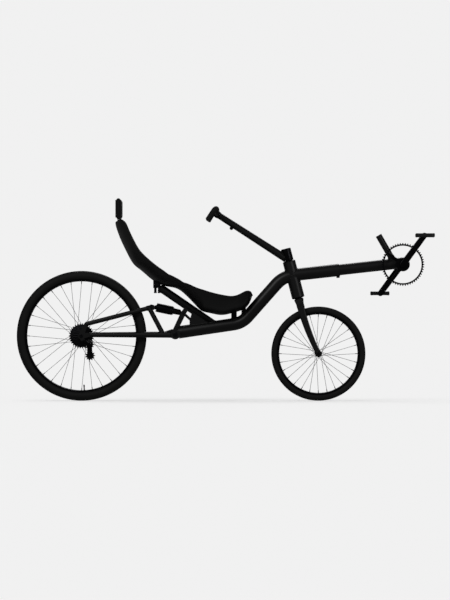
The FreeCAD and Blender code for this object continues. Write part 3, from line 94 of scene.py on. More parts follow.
def coordinates(mesh, kind=float):
    """A mesh's corners as an array."""
    flat = np.zeros(len(mesh.vertices) * 3, np.float32)
    mesh.vertices.foreach_get("co", flat)
    return flat.reshape(-1, 3).astype(kind)


def lumps(node):
    """The separate solids of one node as (low, high) corners, from the lowest x up.

    Corners that share a triangle belong together: every corner takes the smallest label among
    its neighbours, again and again, until no label changes."""
    mesh = frame["nodes"][node].data
    spot, same = np.unique(np.round(coordinates(mesh, np.float32), 6), axis=0, return_inverse=True)
    mesh.calc_loop_triangles()
    tris = np.zeros(len(mesh.loop_triangles) * 3, np.int32)
    mesh.loop_triangles.foreach_get("vertices", tris)
    tris = same.reshape(-1)[tris].reshape(-1, 3)
    label = np.arange(len(spot))
    while True:
        least = label[tris].min(1)
        new = label.copy()
        np.minimum.at(new, tris.reshape(-1), np.repeat(least, 3))
        new = new[new]
        if (new == label).all():
            break
        label = new
    found = [(spot[label == k].min(0), spot[label == k].max(0)) for k in np.unique(label)]
    return sorted(found, key=lambda pair: float(pair[0][0] + pair[1][0]))


def lump_middles(node):
    """The middle of each of a node's separate solids, from the lowest x up."""
    return [(np.array(low) + high) / 2 for low, high in lumps(node)]


REAR = middle("rear_axle")
FRONT = middle("front_axle")
PIVOT = middle("pivot_shell")
CRANK = middle("bb_shell")
TILLER_TIP = middle("bar_clamp")
ROAD = REAR[2] - half_size("rear_tyre")[2]
JOINTS = {joint["name"]: joint for joint in frame["joints"]}
STEER_UP = np.array(JOINTS["steering"]["axis"])
BOOM_AHEAD = np.array(JOINTS["boom_slide"]["axis"])
ACROSS = np.array([0.0, 1.0, 0.0])
print("rear axle", REAR.round(4), "front axle", FRONT.round(4), "road at z", round(float(ROAD), 4))

# %% [markdown]
# ## Studio
# Black things are hard to light. They show as themselves only where something bright is mirrored
# in them, so the room is kept dim and two broad soft lamps draw a line of light along each edge.
# The floor and the backdrop should look like one pale sheet. A soft sun lights nothing but the
# floor, the same everywhere, and light linking keeps the lamps off it. The floor glows a little, so
# that shadows on it stay faint, and it throws no light up at the bicycle, which stays nearly
# black. The camera looks straight at the right-hand side through a long lens, so the wheels stay
# round.

# %% Set up the floor, the lamps and the camera
CAMERA_LENS = 200.0             # mm, on the sensor below
SENSOR = 36.0
VIEW_TALL = 3.0186              # metres of the scene from the top of the picture to its foot
VIEW_X = 0.7213                 # middle of the picture: ahead of the rear axle
VIEW_Z = 0.5066                 # and above the road
PALE = 0.879                    # linear grey of the backdrop, and of the floor once it is lit
ROOM = 0.10                     # light that the room gives from every side
FLOOR_WHITE = 0.94
FLOOR_GLOW = 0.5                # light that the floor gives off by itself, as a light table does
FLOOR_REACH = 60.0              # metres from the middle of the floor to its edge
SUN_TILT = 0.35                 # radians from straight down
SUN_WIDTH = math.radians(70)    # so wide that its shadows have no edge
# name, metres from the middle of the picture, size across in metres, power in watts
LAMPS = [("key", (-1.8, -3.4, 2.4), 1.6, 30.0),
         ("fill", (2.8, -2.6, 0.9), 1.2, 10.0),
         ("rim", (0.4, 3.2, 2.6), 2.4, 60.0)]


def backdrop():
    """The camera sees a pale grey, and everything else is lit by a dimmer one."""
    world = bpy.data.worlds.new("room")
    world.use_nodes = True
    nodes, links = world.node_tree.nodes, world.node_tree.links
    dim = nodes["Background"]
    dim.inputs["Color"].default_value = (ROOM, ROOM, ROOM, 1)
    seen = nodes.new("ShaderNodeBackground")
    seen.inputs["Color"].default_value = (PALE, PALE, PALE, 1)
    path, mix = nodes.new("ShaderNodeLightPath"), nodes.new("ShaderNodeMixShader")
    links.new(path.outputs["Is Camera Ray"], mix.inputs[0])
    links.new(dim.outputs[0], mix.inputs[1])
    links.new(seen.outputs[0], mix.inputs[2])
    links.new(mix.outputs[0], nodes["World Output"].inputs["Surface"])
    bpy.context.scene.world = world


def lamp(name, kind, centre, place, energy, **settings):
    """A lamp at a place, given from the centre of the picture, that points at that centre."""
    light = bpy.data.lights.new(name, kind)
    light.energy = energy
    for setting, value in settings.items():
        setattr(light, setting, value)
    held = bpy.data.objects.new(name, light)
    bpy.context.scene.collection.objects.link(held)
    held.location = centre + np.array(place)
    x, y, z = -np.array(place, float)
    held.rotation_euler = (math.pi / 2 + math.atan2(z, math.hypot(x, y)), 0.0, math.atan2(y, x) - math.pi / 2)
    return held


def studio():
    """Floor, backdrop, lamps and camera."""
    scene = bpy.context.scene
    scene.view_settings.view_transform = "Standard"
    scene.view_settings.look = "None"
    floor = bpy.data.meshes.new("floor")
    corners = [(x * FLOOR_REACH, y * FLOOR_REACH, ROAD) for x, y in ((-1, -1), (1, -1), (1, 1), (-1, 1))]
    floor.from_pydata(corners, [], [(0, 1, 2, 3)])
    plane = bpy.data.objects.new("floor", floor)
    scene.collection.objects.link(plane)
    plane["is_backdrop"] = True
    plane.visible_diffuse = plane.visible_glossy = False
    paper = bpy.data.materials.new("studio_paper")
    paper.use_nodes = True
    shader = paper.node_tree.nodes["Principled BSDF"]
    shader.inputs["Base Color"].default_value = (FLOOR_WHITE, FLOOR_WHITE, FLOOR_WHITE, 1)
    shader.inputs["Roughness"].default_value = 1.0
    shader.inputs["Specular IOR Level"].default_value = 0.0
    shader.inputs["Emission Color"].default_value = (1, 1, 1, 1)
    shader.inputs["Emission Strength"].default_value = FLOOR_GLOW
    floor.materials.append(paper)
    backdrop()

    off_floor = bpy.data.collections.new("lit_by_lamps")
    off_floor.objects.link(plane)
    off_floor.collection_objects[0].light_linking.link_state = "EXCLUDE"
    centre = np.array([REAR[0] + VIEW_X, 0.0, ROAD + VIEW_Z])
    for name, place, size, power in LAMPS:
        held = lamp(name, "AREA", centre, place, power, shape="DISK", size=size)
        held.light_linking.receiver_collection = off_floor
    on_floor = bpy.data.collections.new("lit_by_sun")
    on_floor.objects.link(plane)
    sun_power = math.pi * ((PALE - FLOOR_GLOW) / FLOOR_WHITE - ROOM) / math.cos(SUN_TILT)
    sun_at = (-math.sin(SUN_TILT), 0.0, math.cos(SUN_TILT))
    sun = lamp("sun", "SUN", centre, sun_at, sun_power, angle=SUN_WIDTH)
    sun.light_linking.receiver_collection = on_floor

    lens = bpy.data.cameras.new("camera")
    lens.lens, lens.sensor_width, lens.clip_end = CAMERA_LENS, SENSOR, 200.0
    camera = bpy.data.objects.new("camera", lens)
    scene.collection.objects.link(camera)
    camera.location = centre + np.array([0.0, -VIEW_TALL * CAMERA_LENS / SENSOR, 0.0])
    camera.rotation_euler = (math.pi / 2, 0.0, 0.0)
    scene.camera = camera


studio()

# %% [markdown]
# ## Shapes from arrays
# Almost every new piece is one of three surfaces: a profile turned about an axis, a section
# carried along a path, or a grid of points worked out from a formula. Each is computed as whole
# arrays, joined with its neighbours where they belong to one piece, and put into a mesh at once.


# %% Surfaces on a grid
def quads(rows, columns, wrap_rows=False, wrap_columns=False):
    """The corner numbers of a grid's quads, row by row; a wrapped side joins last to first."""
    r = np.arange(rows if wrap_rows else rows - 1)[:, None]
    c = np.arange(columns if wrap_columns else columns - 1)[None, :]
    r1, c1 = (r + 1) % rows, (c + 1) % columns
    corners = [r * columns + c, r1 * columns + c, r1 * columns + c1, r * columns + c1]
    return np.stack(np.broadcast_arrays(*corners), -1).reshape(-1, 4)


def skin(points, wrap_rows=False, wrap_columns=True, closed_ends=True):
    """A grid of points (rows, columns, 3) as (points, faces). Open ends are closed by a fan to the
    middle of their row."""
    rows, columns = points.shape[:2]
    flat = points.reshape(-1, 3)
    faces = quads(rows, columns, wrap_rows, wrap_columns).tolist()
    if not wrap_rows and closed_ends:
        ring = np.arange(columns)
        for row, middle_of in ((0, len(flat)), (rows - 1, len(flat) + 1)):
            start = row * columns
            fan = np.stack([ring + start, np.roll(ring, -1) + start, np.full(columns, middle_of)], -1)
            faces += fan.tolist()
        flat = np.vstack([flat, points[0].mean(0), points[-1].mean(0)])
    return flat, faces


def joined(parts):
    """Several (points, faces) as one."""
    points, faces, count = [], [], 0
    for more_points, more_faces in parts:
        points.append(np.asarray(more_points, float))
        faces += [[corner + count for corner in face] for face in more_faces]
        count += len(more_points)
    return np.vstack(points), faces


def unit(vector):
    """The same direction, one metre long."""
    return np.asarray(vector, float) / np.linalg.norm(vector)


def square_to(direction):
    """Two unit vectors square to a direction and to each other."""
    direction = unit(direction)
    helper = np.eye(3)[np.argmin(np.abs(direction))]
    first = unit(np.cross(direction, helper))
    return first, np.cross(direction, first)


def turns(count):
    """Angles that share out a full turn."""
    return np.arange(count) * 2 * np.pi / count


def rays(angles, first, second):
    """Unit vectors at these angles in the plane of two others: first cos u + second sin u."""
    return np.cos(angles)[:, None] * first + np.sin(angles)[:, None] * second


def metres_along(path):
    """The distance from a path's first point to each of its points."""
    return np.concatenate([[0], np.cumsum(np.linalg.norm(np.diff(path, axis=0), axis=1))])


def eased(corners, radius, steps=3, closed=False):
    """A profile with each sharp corner c replaced by the curve (1-t)^2 a + 2t(1-t) c + t^2 b, where a
    and b lie a radius, or at most 0.45 of the side, before and after it."""
    c = np.asarray(corners, float)
    before, after = np.roll(c, 1, 0) - c, np.roll(c, -1, 0) - c
    a, b = (c + side * np.minimum(radius / np.maximum(np.linalg.norm(side, axis=1), 1e-9), 0.45)[:, None]
            for side in (before, after))
    t = np.linspace(0, 1, steps)[None, :, None]
    curve = (1 - t) ** 2 * a[:, None] + 2 * t * (1 - t) * c[:, None] + t ** 2 * b[:, None]
    if closed:
        return curve.reshape(-1, c.shape[1])
    return np.vstack([c[:1], curve[1:-1].reshape(-1, c.shape[1]), c[-1:]])


def turned(profile, point, axis, sides=72, ring=False):
    """A profile of (distance along the axis, radius) turned about the axis through point:
    p(u, v) = point + axis * along(v) + radius(v) * (e1 cos u + e2 sin u). A ring's profile is a loop."""
    profile, axis = np.asarray(profile, float), unit(axis)
    around = rays(turns(sides), *square_to(axis))
    grid = np.asarray(point) + profile[:, 0, None, None] * axis + profile[:, 1, None, None] * around[None]
    return skin(grid, wrap_rows=ring)


def hoop(profile, ease, point, axis, sides=72):
    """A closed profile, eased and turned into a ring."""
    return turned(eased(profile, ease, closed=True), point, axis, sides, ring=True)


def rod(point, axis, start, end, radius, sides=28):
    """A plain round bar along the axis, from start to end."""
    return turned([(start, 0), (start, radius), (end, radius), (end, 0)], point, axis, sides)


def collar(point, axis, start, end, bore, radius, ease, sides=48):
    """A thick ring about the axis, from start to end, with its four edges eased."""
    return hoop([(start, bore), (start, radius), (end, radius), (end, bore)], ease, point, axis, sides)


def bent(points, radii, steps=9):
    """Straight runs joined by arcs. Each corner's arc of radius r has its centre on the line that
    halves the corner, r / sin(half the corner) away, and starts r / tan(half the corner) before it."""
    points = [np.asarray(p, float) for p in points]
    path = [points[0]]
    for before, corner, after, r in zip(points, points[1:], points[2:], radii):
        back, ahead = unit(before - corner), unit(after - corner)
        half = math.acos(np.clip(back @ ahead, -1, 1)) / 2
        centre = corner + unit(back + ahead) * r / math.sin(half)
        start, end = (corner + way * r / math.tan(half) - centre for way in (back, ahead))
        angle = math.pi - 2 * half
        t = np.linspace(0, 1, steps)[:, None]
        path.append(centre + (start * np.sin((1 - t) * angle) + end * np.sin(t * angle)) / math.sin(angle))
    path.append(points[-1])
    return np.vstack([np.atleast_2d(p) for p in path])


def carried(path, section, scale=1.0, side=None, loop=False):
    """A section of (across, up) points carried along a path: p(i, k) = path(i) + across(k) * side(i)
    + up(k) * lift(i), where side and lift are square to the path, and lift is as near as can be to
    the same direction all along."""
    path, section = np.asarray(path, float), np.asarray(section, float)
    ahead = np.roll(path, -1, 0) - np.roll(path, 1, 0) if loop else np.gradient(path, axis=0)
    ahead /= np.linalg.norm(ahead, axis=1)[:, None]
    steady = np.asarray(side if side is not None else square_to(path[-1] - path[0])[0], float)
    lift = np.cross(ahead, steady)
    lift /= np.linalg.norm(lift, axis=1)[:, None]
    across = np.cross(lift, ahead)
    scale = np.broadcast_to(scale, len(path))[:, None, None]
    shape = section[None, :, :1] * across[:, None] + section[None, :, 1:] * lift[:, None]
    return skin(path[:, None] + scale * shape, wrap_rows=loop)


def circle(radius, sides=16):
    """A round section."""
    return radius * np.stack([np.cos(turns(sides)), np.sin(turns(sides))], -1)


def tube(path, radius, sides=16, side=None, loop=False):
    """A round rod along a path; the radius may be one number or one for each point."""
    return carried(path, circle(1.0, sides), radius, side, loop)


# %% [markdown]
# ## Putting a piece into the scene
# Every piece rides a body, has a slot that says what it is made of, and may stand for solids that
# are then hidden. Its faces are turned outwards once its doubled points are merged, and its edges
# stay crisp where two faces meet at more than about 35 degrees.

# %% Make pieces
CRISP = math.radians(35)
FLAT = math.radians(0.5)        # triangles that meet at less than this belong to one face
SAME_SPOT = 1e-6


def put(name, mesh, body, slot, replaces=(), look=None):
    """One object from a mesh, riding on a body. It takes its slot's finish unless look is another."""
    thing = bpy.data.objects.new(name, mesh)
    bpy.context.scene.collection.objects.link(thing)
    mesh.polygons.foreach_set("use_smooth", [True] * len(mesh.polygons))
    mesh.set_sharp_from_angle(angle=CRISP)
    mesh.materials.clear()
    mesh.materials.append(look or FINISH_OF[slot])
    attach(thing, body)
    if replaces:
        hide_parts(*replaces)
    return thing


def piece(name, parts, body, slot, replaces=(), look=None):
    """One object from (points, faces) parts, with its faces turned outwards."""
    points, faces = joined(parts)
    mesh = bpy.data.meshes.new(name)
    mesh.from_pydata(points.tolist(), [], faces)
    work = bmesh.new()
    work.from_mesh(mesh)
    bmesh.ops.remove_doubles(work, verts=work.verts, dist=SAME_SPOT)
    bmesh.ops.recalc_face_normals(work, faces=work.faces)
    work.to_mesh(mesh)
    work.free()
    return put(name, mesh, body, slot, replaces, look)


def merged(node, edge=0.0):
    """A copy of a solid with its triangles joined into one skin, so that light runs smoothly over
    it; edge is the width of a worn corner in metres, 0 where corners stay sharp."""
    mesh = frame["nodes"][node].data.copy()
    work = bmesh.new()
    work.from_mesh(mesh)
    bmesh.ops.remove_doubles(work, verts=work.verts, dist=SAME_SPOT)
    bmesh.ops.dissolve_limit(work, angle_limit=FLAT, verts=work.verts, edges=work.edges)
    work.to_mesh(mesh)
    work.free()
    thing = put(node + "_skin", mesh, BODY_OF[node], SLOT_OF[node], [node])
    if edge:
        worn = thing.modifiers.new("worn corners", "BEVEL")
        worn.width, worn.segments, worn.limit_method = edge, 2, "ANGLE"
        worn.angle_limit = CRISP
        worn.harden_normals = True
    return thing


# %% [markdown]
# ## Finishes
# Everything here is black, so the finishes differ in how they take the light: powder coat has a
# faint orange peel, anodised alloy shows the tool that turned it, rubber is dull and dusty, and
# the seat's gel coat has a soft sheen. Colours are written as sRGB and turned to linear light
# once.

# %% One colour and one node at a time
def linear(code):
    """An sRGB hex colour as linear (r, g, b, 1): c / 12.92 up to 0.04045, and above it
    ((c + 0.055) / 1.055) ** 2.4."""
    c = np.array([int(code[i:i + 2], 16) for i in (1, 3, 5)]) / 255
    c = np.where(c <= 0.04045, c / 12.92, ((c + 0.055) / 1.055) ** 2.4)
    return (*c.tolist(), 1.0)


def add(tree, kind, links=(), **settings):
    """A node of this kind. A setting is a property, or else a socket's value, with _ for each space
    and _0, _1 for sockets that share a name; links are (socket, node, output) that feed it."""
    made = tree.nodes.new(kind)
    for name, value in settings.items():
        if hasattr(made, name):
            setattr(made, name, value)
        elif name[-2:] in ("_0", "_1", "_2"):
            made.inputs[int(name[-1])].default_value = value
        else:
            made.inputs[name.replace("_", " ")].default_value = value
    for socket, source, output in links:
        tree.links.new(source.outputs[output], made.inputs[socket])
    return made


def finish(name, colour, roughness, **shader_settings):
    """A new material: (material, its node tree, its shader)."""
    material = bpy.data.materials.new(name)
    material.use_nodes = True
    tree = material.node_tree
    shader = tree.nodes["Principled BSDF"]
    shader.inputs["Base Color"].default_value = linear(colour)
    shader.inputs["Roughness"].default_value = roughness
    for socket, value in shader_settings.items():
        shader.inputs[socket.replace("_", " ")].default_value = value
    return material, tree, shader


def bumped(tree, shader, source, output, height):
    """Lifts the shader's surface by a height in metres where the source is 1."""
    bump = add(tree, "ShaderNodeBump", [("Height", source, output)], Strength=1.0, Distance=height)
    tree.links.new(bump.outputs["Normal"], shader.inputs["Normal"])


def two_tone(tree, shader, source, output, dark, light, stops=(0.0, 1.0)):
    """Colours the shader from dark to light as the source goes from one stop to the other."""
    ramp = add(tree, "ShaderNodeValToRGB", [("Fac", source, output)])
    for mark, stop, colour in zip(ramp.color_ramp.elements, stops, (dark, light)):
        mark.position, mark.color = stop, linear(colour)
    tree.links.new(ramp.outputs["Color"], shader.inputs["Base Color"])


def grained(name, colour, roughness, size, height, span, blotch=0.0, tones=None, **shader_settings):
    """Most finishes: noise of one grain size, in metres, lifts the surface by a height in metres and
    moves the roughness over a span; a wider blotch mixes two tones."""
    material, tree, shader = finish(name, colour, roughness, **shader_settings)
    where = add(tree, "ShaderNodeTexCoord")
    fine = add(tree, "ShaderNodeTexNoise", [("Vector", where, "Object")], Scale=1 / size, Detail=2.0)
    bumped(tree, shader, fine, "Fac", height)
    rough = add(tree, "ShaderNodeMapRange", [("Value", fine, "Fac")], From_Min=0.3, From_Max=0.7,
                To_Min=span[0], To_Max=span[1])
    tree.links.new(rough.outputs["Result"], shader.inputs["Roughness"])
    if blotch:
        wide = add(tree, "ShaderNodeTexNoise", [("Vector", where, "Object")], Scale=1 / blotch, Detail=4.0)
        two_tone(tree, shader, wide, "Fac", *tones, stops=(0.4, 0.65))
    return material


def wave(tree, where, axis, spacing, **settings):
    """Even bands across an axis of the piece, a spacing in metres apart."""
    return add(tree, "ShaderNodeTexWave", [("Vector", where, "Object")], wave_type="BANDS",
               bands_direction=axis, Scale=math.pi / 10 / spacing, **settings)


# %% [markdown]
# ## The black finishes
# Polyester powder coat is sprayed dry and baked, which leaves a satin skin with a faint orange
# peel about 1.5 mm across. It is the finish of the frame, the fork and the tiller.

# %% Powder coat
powder_coat = grained("satin_powder_coat", "#0e0e0f", 0.42, 0.0015, 0.00002, (0.36, 0.46),
                      blotch=0.08, tones=("#0c0c0d", "#101011"), IOR=1.5)

# %% [markdown]
# Black anodising keeps the metal's own surface under a thin dark oxide, so what was turned still
# shows rings, here drawn 0.5 mm apart, and what was forged shows a soft even grain.

# %% Anodised alloy, turned and forged
turned_alloy, tree, shader = finish("turned_anodised_alloy", "#232325", 0.3, Metallic=1.0)
rings = wave(tree, add(tree, "ShaderNodeTexCoord"), "Y", 0.0005, Distortion=0.4, Detail=1.0)
bumped(tree, shader, rings, "Fac", 0.000012)
forged_alloy = grained("forged_anodised_alloy", "#1d1d1f", 0.34, 0.0006, 0.00001, (0.28, 0.4),
                       blotch=0.03, tones=("#1a1a1c", "#212123"), Metallic=1.0)
ring_alloy = grained("milled_anodised_alloy", "#262628", 0.32, 0.0004, 0.000008, (0.28, 0.38), Metallic=1.0)

# %% [markdown]
# Bolts, axles and sprockets are steel blackened in a hot salt bath. The oxide is uneven, so its
# tone wanders a little over a centimetre, and it is duller than anodising.

# %% Blackened steel
black_steel = grained("blackened_steel", "#2a2a2c", 0.45, 0.0005, 0.000012, (0.36, 0.52),
                      blotch=0.01, tones=("#242426", "#303033"), Metallic=1.0)
spoke_steel = grained("black_oxide_wire", "#29292b", 0.35, 0.0008, 0.000006, (0.3, 0.42), Metallic=1.0)
hard_coat = grained("hard_anodised_tube", "#2b2a29", 0.22, 0.0003, 0.000004, (0.18, 0.26), Metallic=1.0)

# %% [markdown]
# Tyre rubber holds carbon black and is matt, with a fine cast from the mould and a little road
# dust in the tread. Grips are a softer rubber with a closer grain.

# %% Rubber and plastic
tyre_rubber = grained("tyre_rubber", "#0f0f0f", 0.75, 0.0009, 0.00005, (0.66, 0.84),
                      blotch=0.04, tones=("#0d0d0d", "#141413"), IOR=1.52)
grip_rubber = grained("soft_grip_rubber", "#0d0d0d", 0.7, 0.0007, 0.00004, (0.6, 0.8), IOR=1.52)
moulded_nylon = grained("moulded_nylon", "#101011", 0.5, 0.0008, 0.00004, (0.44, 0.56), IOR=1.53)

# %% [markdown]
# The seat bucket is glass cloth in resin under a black gel coat. The coat is rubbed down to a
# satin, and the cloth prints through it as a faint weave, which real buckets show at about 3 mm a
# thread.

# %% Gel coat
THREAD = 0.003
gel_coat, tree, shader = finish("black_gel_coat", "#0c0c0d", 0.4, IOR=1.5, Coat_Weight=0.2,
                                Coat_Roughness=0.3)
where = add(tree, "ShaderNodeTexCoord")
warp, weft = (wave(tree, where, axis, THREAD) for axis in "YX")
cloth = add(tree, "ShaderNodeMath", [(0, warp, "Fac"), (1, weft, "Fac")], operation="MULTIPLY")
bumped(tree, shader, cloth, "Value", 0.00001)

# %% [markdown]
# The pads are a knitted spacer mesh over foam: rows of small holes about 4 mm apart in a matt
# yarn. The pattern follows a UV map in metres that is laid along the pad, so it doesn't slide.


# %% Spacer mesh
def spacer_mesh(name, pitch):
    """Round holes on a square grid: the surface climbs out of each between 0.18 and 0.42 of the
    pitch from its middle, and each hole is painted darker, as the shade that falls inside it."""
    material, tree, shader = finish(name, "#111112", 0.85, IOR=1.46, Sheen_Weight=0.12, Sheen_Roughness=0.5)
    where = add(tree, "ShaderNodeUVMap", uv_map="cloth")
    apart = add(tree, "ShaderNodeVectorMath", [(0, where, "UV")], operation="SCALE", Scale=1 / pitch)
    cells = add(tree, "ShaderNodeTexVoronoi", [("Vector", apart, "Vector")], voronoi_dimensions="2D",
                feature="F1", Scale=1.0, Randomness=0.0)
    hole = add(tree, "ShaderNodeMapRange", [("Value", cells, "Distance")], From_Min=0.18, From_Max=0.42,
               To_Min=0.0, To_Max=1.0)
    # painted shade: each hole is coloured darker than the yarn around it, as shade inside the hole
    two_tone(tree, shader, hole, "Result", "#060606", "#151516")
    bumped(tree, shader, hole, "Result", 0.0006)
    return material


pad_mesh = spacer_mesh("knitted_spacer_mesh", 0.004)
binding = grained("woven_edge_binding", "#0f0f10", 0.8, 0.0008, 0.00008, (0.74, 0.86), Sheen_Weight=0.1)
FINISH_OF = {"frame_paint": powder_coat, "black_alloy": forged_alloy, "chainring_alloy": ring_alloy,
             "black_steel": black_steel, "shock_shaft": hard_coat, "spoke_steel": spoke_steel,
             "tyre": tyre_rubber, "seat_shell": gel_coat, "seat_fabric": pad_mesh,
             "grip_rubber": grip_rubber, "pedal_plastic": moulded_nylon}
print("finishes:", len(bpy.data.materials))

# %% [markdown]
# ## Tyres
# A tyre is a round section of rubber turned about the axle. A road tread is moulded into its
# crown: a rib in the middle, and on each side short grooves that lean with the roll. The grooves
# only cut inwards, so the wheel stays as large as the solid that it stands for.

# %% Mould the tyres
TREAD_DEPTH = 0.0014
BEAD_RISE = 0.0061              # foot of the sidewall above the bead seat
WALL = 0.0035                   # thickness of the rubber at the sidewall
GROOVE_LEAN = 2.2               # how far round the groove slants, for each radian across the crown
REAR_RIM_W, FRONT_RIM_W = 0.027, 0.024


def smooth_step(x, low, high):
    """0 below low, 1 above high, and 3t^2 - 2t^3 between them."""
    t = np.clip((x - low) / (high - low), 0, 1)
    return t * t * (3 - 2 * t)


def tyre(name, node, centre, width, rim_wide, pitches, body):
    """p(u, v) = centre + (ring radius + r cos v) * spoke(u) + r sin v * across, r being the section's
    radius less the tread's depth where a groove runs."""
    outer = half_size(node)[2]
    r = width / 2
    ring = outer - r
    reach = math.acos((outer - width + BEAD_RISE - ring) / r)
    u = np.linspace(0, 2 * np.pi, pitches * 10, endpoint=False)[:, None]
    v = np.linspace(-reach, reach, 49)[None, :]
    slant = u * pitches + GROOVE_LEAN * np.abs(v)
    groove = smooth_step(np.cos(slant), 0.55, 0.85) * smooth_step(np.abs(v), 0.16, 0.24)
    groove *= 1 - smooth_step(np.abs(v), 0.75, 0.95)
    channel = smooth_step(0.045 - np.abs(np.abs(v) - 0.13), 0, 0.03)
    side_line = smooth_step(0.03 - np.abs(np.abs(v) - 1.75), 0, 0.02) * 0.5
    depth = TREAD_DEPTH * np.maximum(np.maximum(groove, channel), side_line)
    radius, across = ring + (r - depth) * np.cos(v), np.broadcast_to((r - depth) * np.sin(v), depth.shape)
    neck, seat = rim_wide / 2 - 0.0019, outer - width + 0.0003
    inner = np.linspace(reach * 0.86, -reach * 0.86, 15)
    foot = [(outer - width + BEAD_RISE, neck), (seat, neck), (seat, neck - WALL)]
    back = foot + [(ring + (r - WALL) * math.cos(t), (r - WALL) * math.sin(t)) for t in inner]
    back = np.array(back + [(a, -b) for a, b in reversed(foot)])
    radius = np.hstack([radius, np.broadcast_to(back[:, 0], (len(u), len(back)))])
    across = np.hstack([across, np.broadcast_to(back[:, 1], (len(u), len(back)))])
    grid = np.stack([centre[0] + radius * np.cos(u), centre[1] + across, centre[2] + radius * np.sin(u)], -1)
    return piece(name, [skin(grid, wrap_rows=True)], body, "tyre", [node])


tyre("rear_tyre_moulded", "rear_tyre", REAR, 0.047, REAR_RIM_W, 96, "rear_wheel")
tyre("front_tyre_moulded", "front_tyre", FRONT, 0.034, FRONT_RIM_W, 80, "front_wheel")

# %% [markdown]
# ## Rims, spokes and hubs
# A rim is one extruded section bent into a hoop, so it is a closed profile turned about the axle.
# Each spoke starts at a small head, turns a corner through its hub flange, and ends in a nipple
# at the rim. The spokes cross, half of them leaning forward and half back.

# %% Extrude the rims and lace the spokes
RIM_TALL = 0.012
SPOKE_R, NIPPLE_R, NIPPLE_L = 0.001, 0.0019, 0.0125
SPOKE_RADII = [NIPPLE_R, NIPPLE_R - 0.0001, *[SPOKE_R] * 7, NIPPLE_R, NIPPLE_R, NIPPLE_R + 0.0003]
FLANGE_T = 0.0015               # half the thickness of a hub's flange
FREEHUB_END = -0.0634
REAR_FLANGES, FRONT_FLANGES = (0.034, -0.018), (0.033, -0.033)
REAR_SEAT_R, FRONT_SEAT_R = 0.2735, 0.197   # where the nipples and the valves sit in the rims


def rim(name, node, centre, width, body):
    """A box section with a bead hook on each flange, a smooth brake track and a rounded floor."""
    low, high = half_size(node)[2] - RIM_TALL, half_size(node)[2]
    seat, w = (low + high) / 2, width / 2
    side = [(w, low + 0.003), (w - 0.0004, low + 0.005), (w - 0.0004, high - 0.0025), (w, high - 0.0015),
            (w, high), (w - 0.0026, high), (w - 0.0026, high - 0.0012), (w - 0.0018, high - 0.0022),
            (w - 0.0018, seat), (w - 0.007, seat), (w - 0.009, seat - 0.0022)]
    floor = [(-w + 0.006, low), (w - 0.006, low)]
    loop = floor + side + [(-y, r) for y, r in reversed(side)]
    return piece(name, [hoop(loop, 0.0007, centre, ACROSS, 180)], body, "black_alloy", [node], turned_alloy)


def spokes(name, node, centre, count, crosses, flanges, hole_r, rim_r, body):
    """Spoke i of a side leaves its flange at the angle 2 pi i / (half the count) and meets the rim
    that many crossings of a pitch further on, or back."""
    made, per_side = [], count // 2
    lean = crosses * 2 * np.pi / per_side
    for which, flange in enumerate(flanges):
        out = np.sign(flange)
        for i in range(per_side):
            angle = 2 * np.pi * (i + which / 2) / per_side
            face, turn = (out, lean) if i % 2 == 0 else (-out, -lean)
            spot = [centre + r * np.array([math.cos(a), 0, math.sin(a)]) for r, a in
                    ((hole_r, angle), (rim_r, angle + turn))]
            head = spot[0] + ACROSS * (flange - face * 0.0026)
            elbow = spot[0] + ACROSS * (flange + face * 0.0022)
            end = spot[1] + ACROSS * out * 0.0025
            run = unit(end - elbow)
            wire = bent([head + ACROSS * face * 0.0008, elbow, end - run * NIPPLE_L], [0.0018], 5)
            path = np.vstack([head, head + ACROSS * face * 0.0007, wire, end - run * (NIPPLE_L - 0.0001),
                              end - run * 0.004, end])
            made.append(tube(path, SPOKE_RADII, 8, side=np.cross(run, ACROSS)))
    return piece(name, made, body, "spoke_steel", [node])


def hub(name, node, centre, flanges, flange_r, waist, end_y, body, freehub=None):
    """A turned shell: a waisted barrel between two flanges, then the cones and locknuts."""
    left_y, right_y = flanges
    foot = flange_r - 0.001
    left_side = [(left_y + FLANGE_T, foot), (left_y + FLANGE_T, waist + 0.003),
                 (left_y + 0.006, waist * 0.95), (end_y - 0.008, waist * 0.9), (end_y - 0.007, 0.0105),
                 (end_y, 0.0102), (end_y, 0.0052)]
    right_side = [(right_y - FLANGE_T, foot), (right_y - FLANGE_T, waist + 0.003)]
    if freehub:
        right_side += [(right_y - 0.003, freehub), (FREEHUB_END, freehub), (FREEHUB_END - 0.0002, 0.0105)]
    else:
        right_side += [(right_y - 0.006, waist * 0.95), (-end_y + 0.008, waist * 0.9),
                       (-end_y + 0.007, 0.0105)]
    right_side += [(-end_y, 0.0102), (-end_y, 0.0052)]
    barrel = [(right_y, flange_r), (right_y + FLANGE_T, foot), (right_y + FLANGE_T, waist + 0.004),
              (right_y * 0.6, waist), (left_y * 0.6, waist), (left_y - FLANGE_T, waist + 0.004),
              (left_y - FLANGE_T, foot), (left_y, flange_r)]
    loop = right_side[::-1] + barrel + left_side
    return piece(name, [hoop(loop, 0.0008, centre, ACROSS)], body, "black_alloy", [node], turned_alloy)


rim("rear_rim_extruded", "rear_rim", REAR, REAR_RIM_W, "rear_wheel")
rim("front_rim_extruded", "front_rim", FRONT, FRONT_RIM_W, "front_wheel")
spokes("rear_spokes_laced", "rear_spokes", REAR, 32, 3, REAR_FLANGES, 0.026, REAR_SEAT_R, "rear_wheel")
spokes("front_spokes_laced", "front_spokes", FRONT, 28, 2, FRONT_FLANGES, 0.014, FRONT_SEAT_R, "front_wheel")
hub("rear_hub_turned", "rear_hub", REAR, REAR_FLANGES, 0.029, 0.018, 0.0675, "rear_wheel", freehub=0.0168)
hub("front_hub_turned", "front_hub", FRONT, FRONT_FLANGES, 0.017, 0.0115, 0.05, "front_wheel")

# %% [markdown]
# A valve pokes through each rim between two spokes, with its locknut and dust cap. At rest the
# front wheel's valve stands behind the fork.

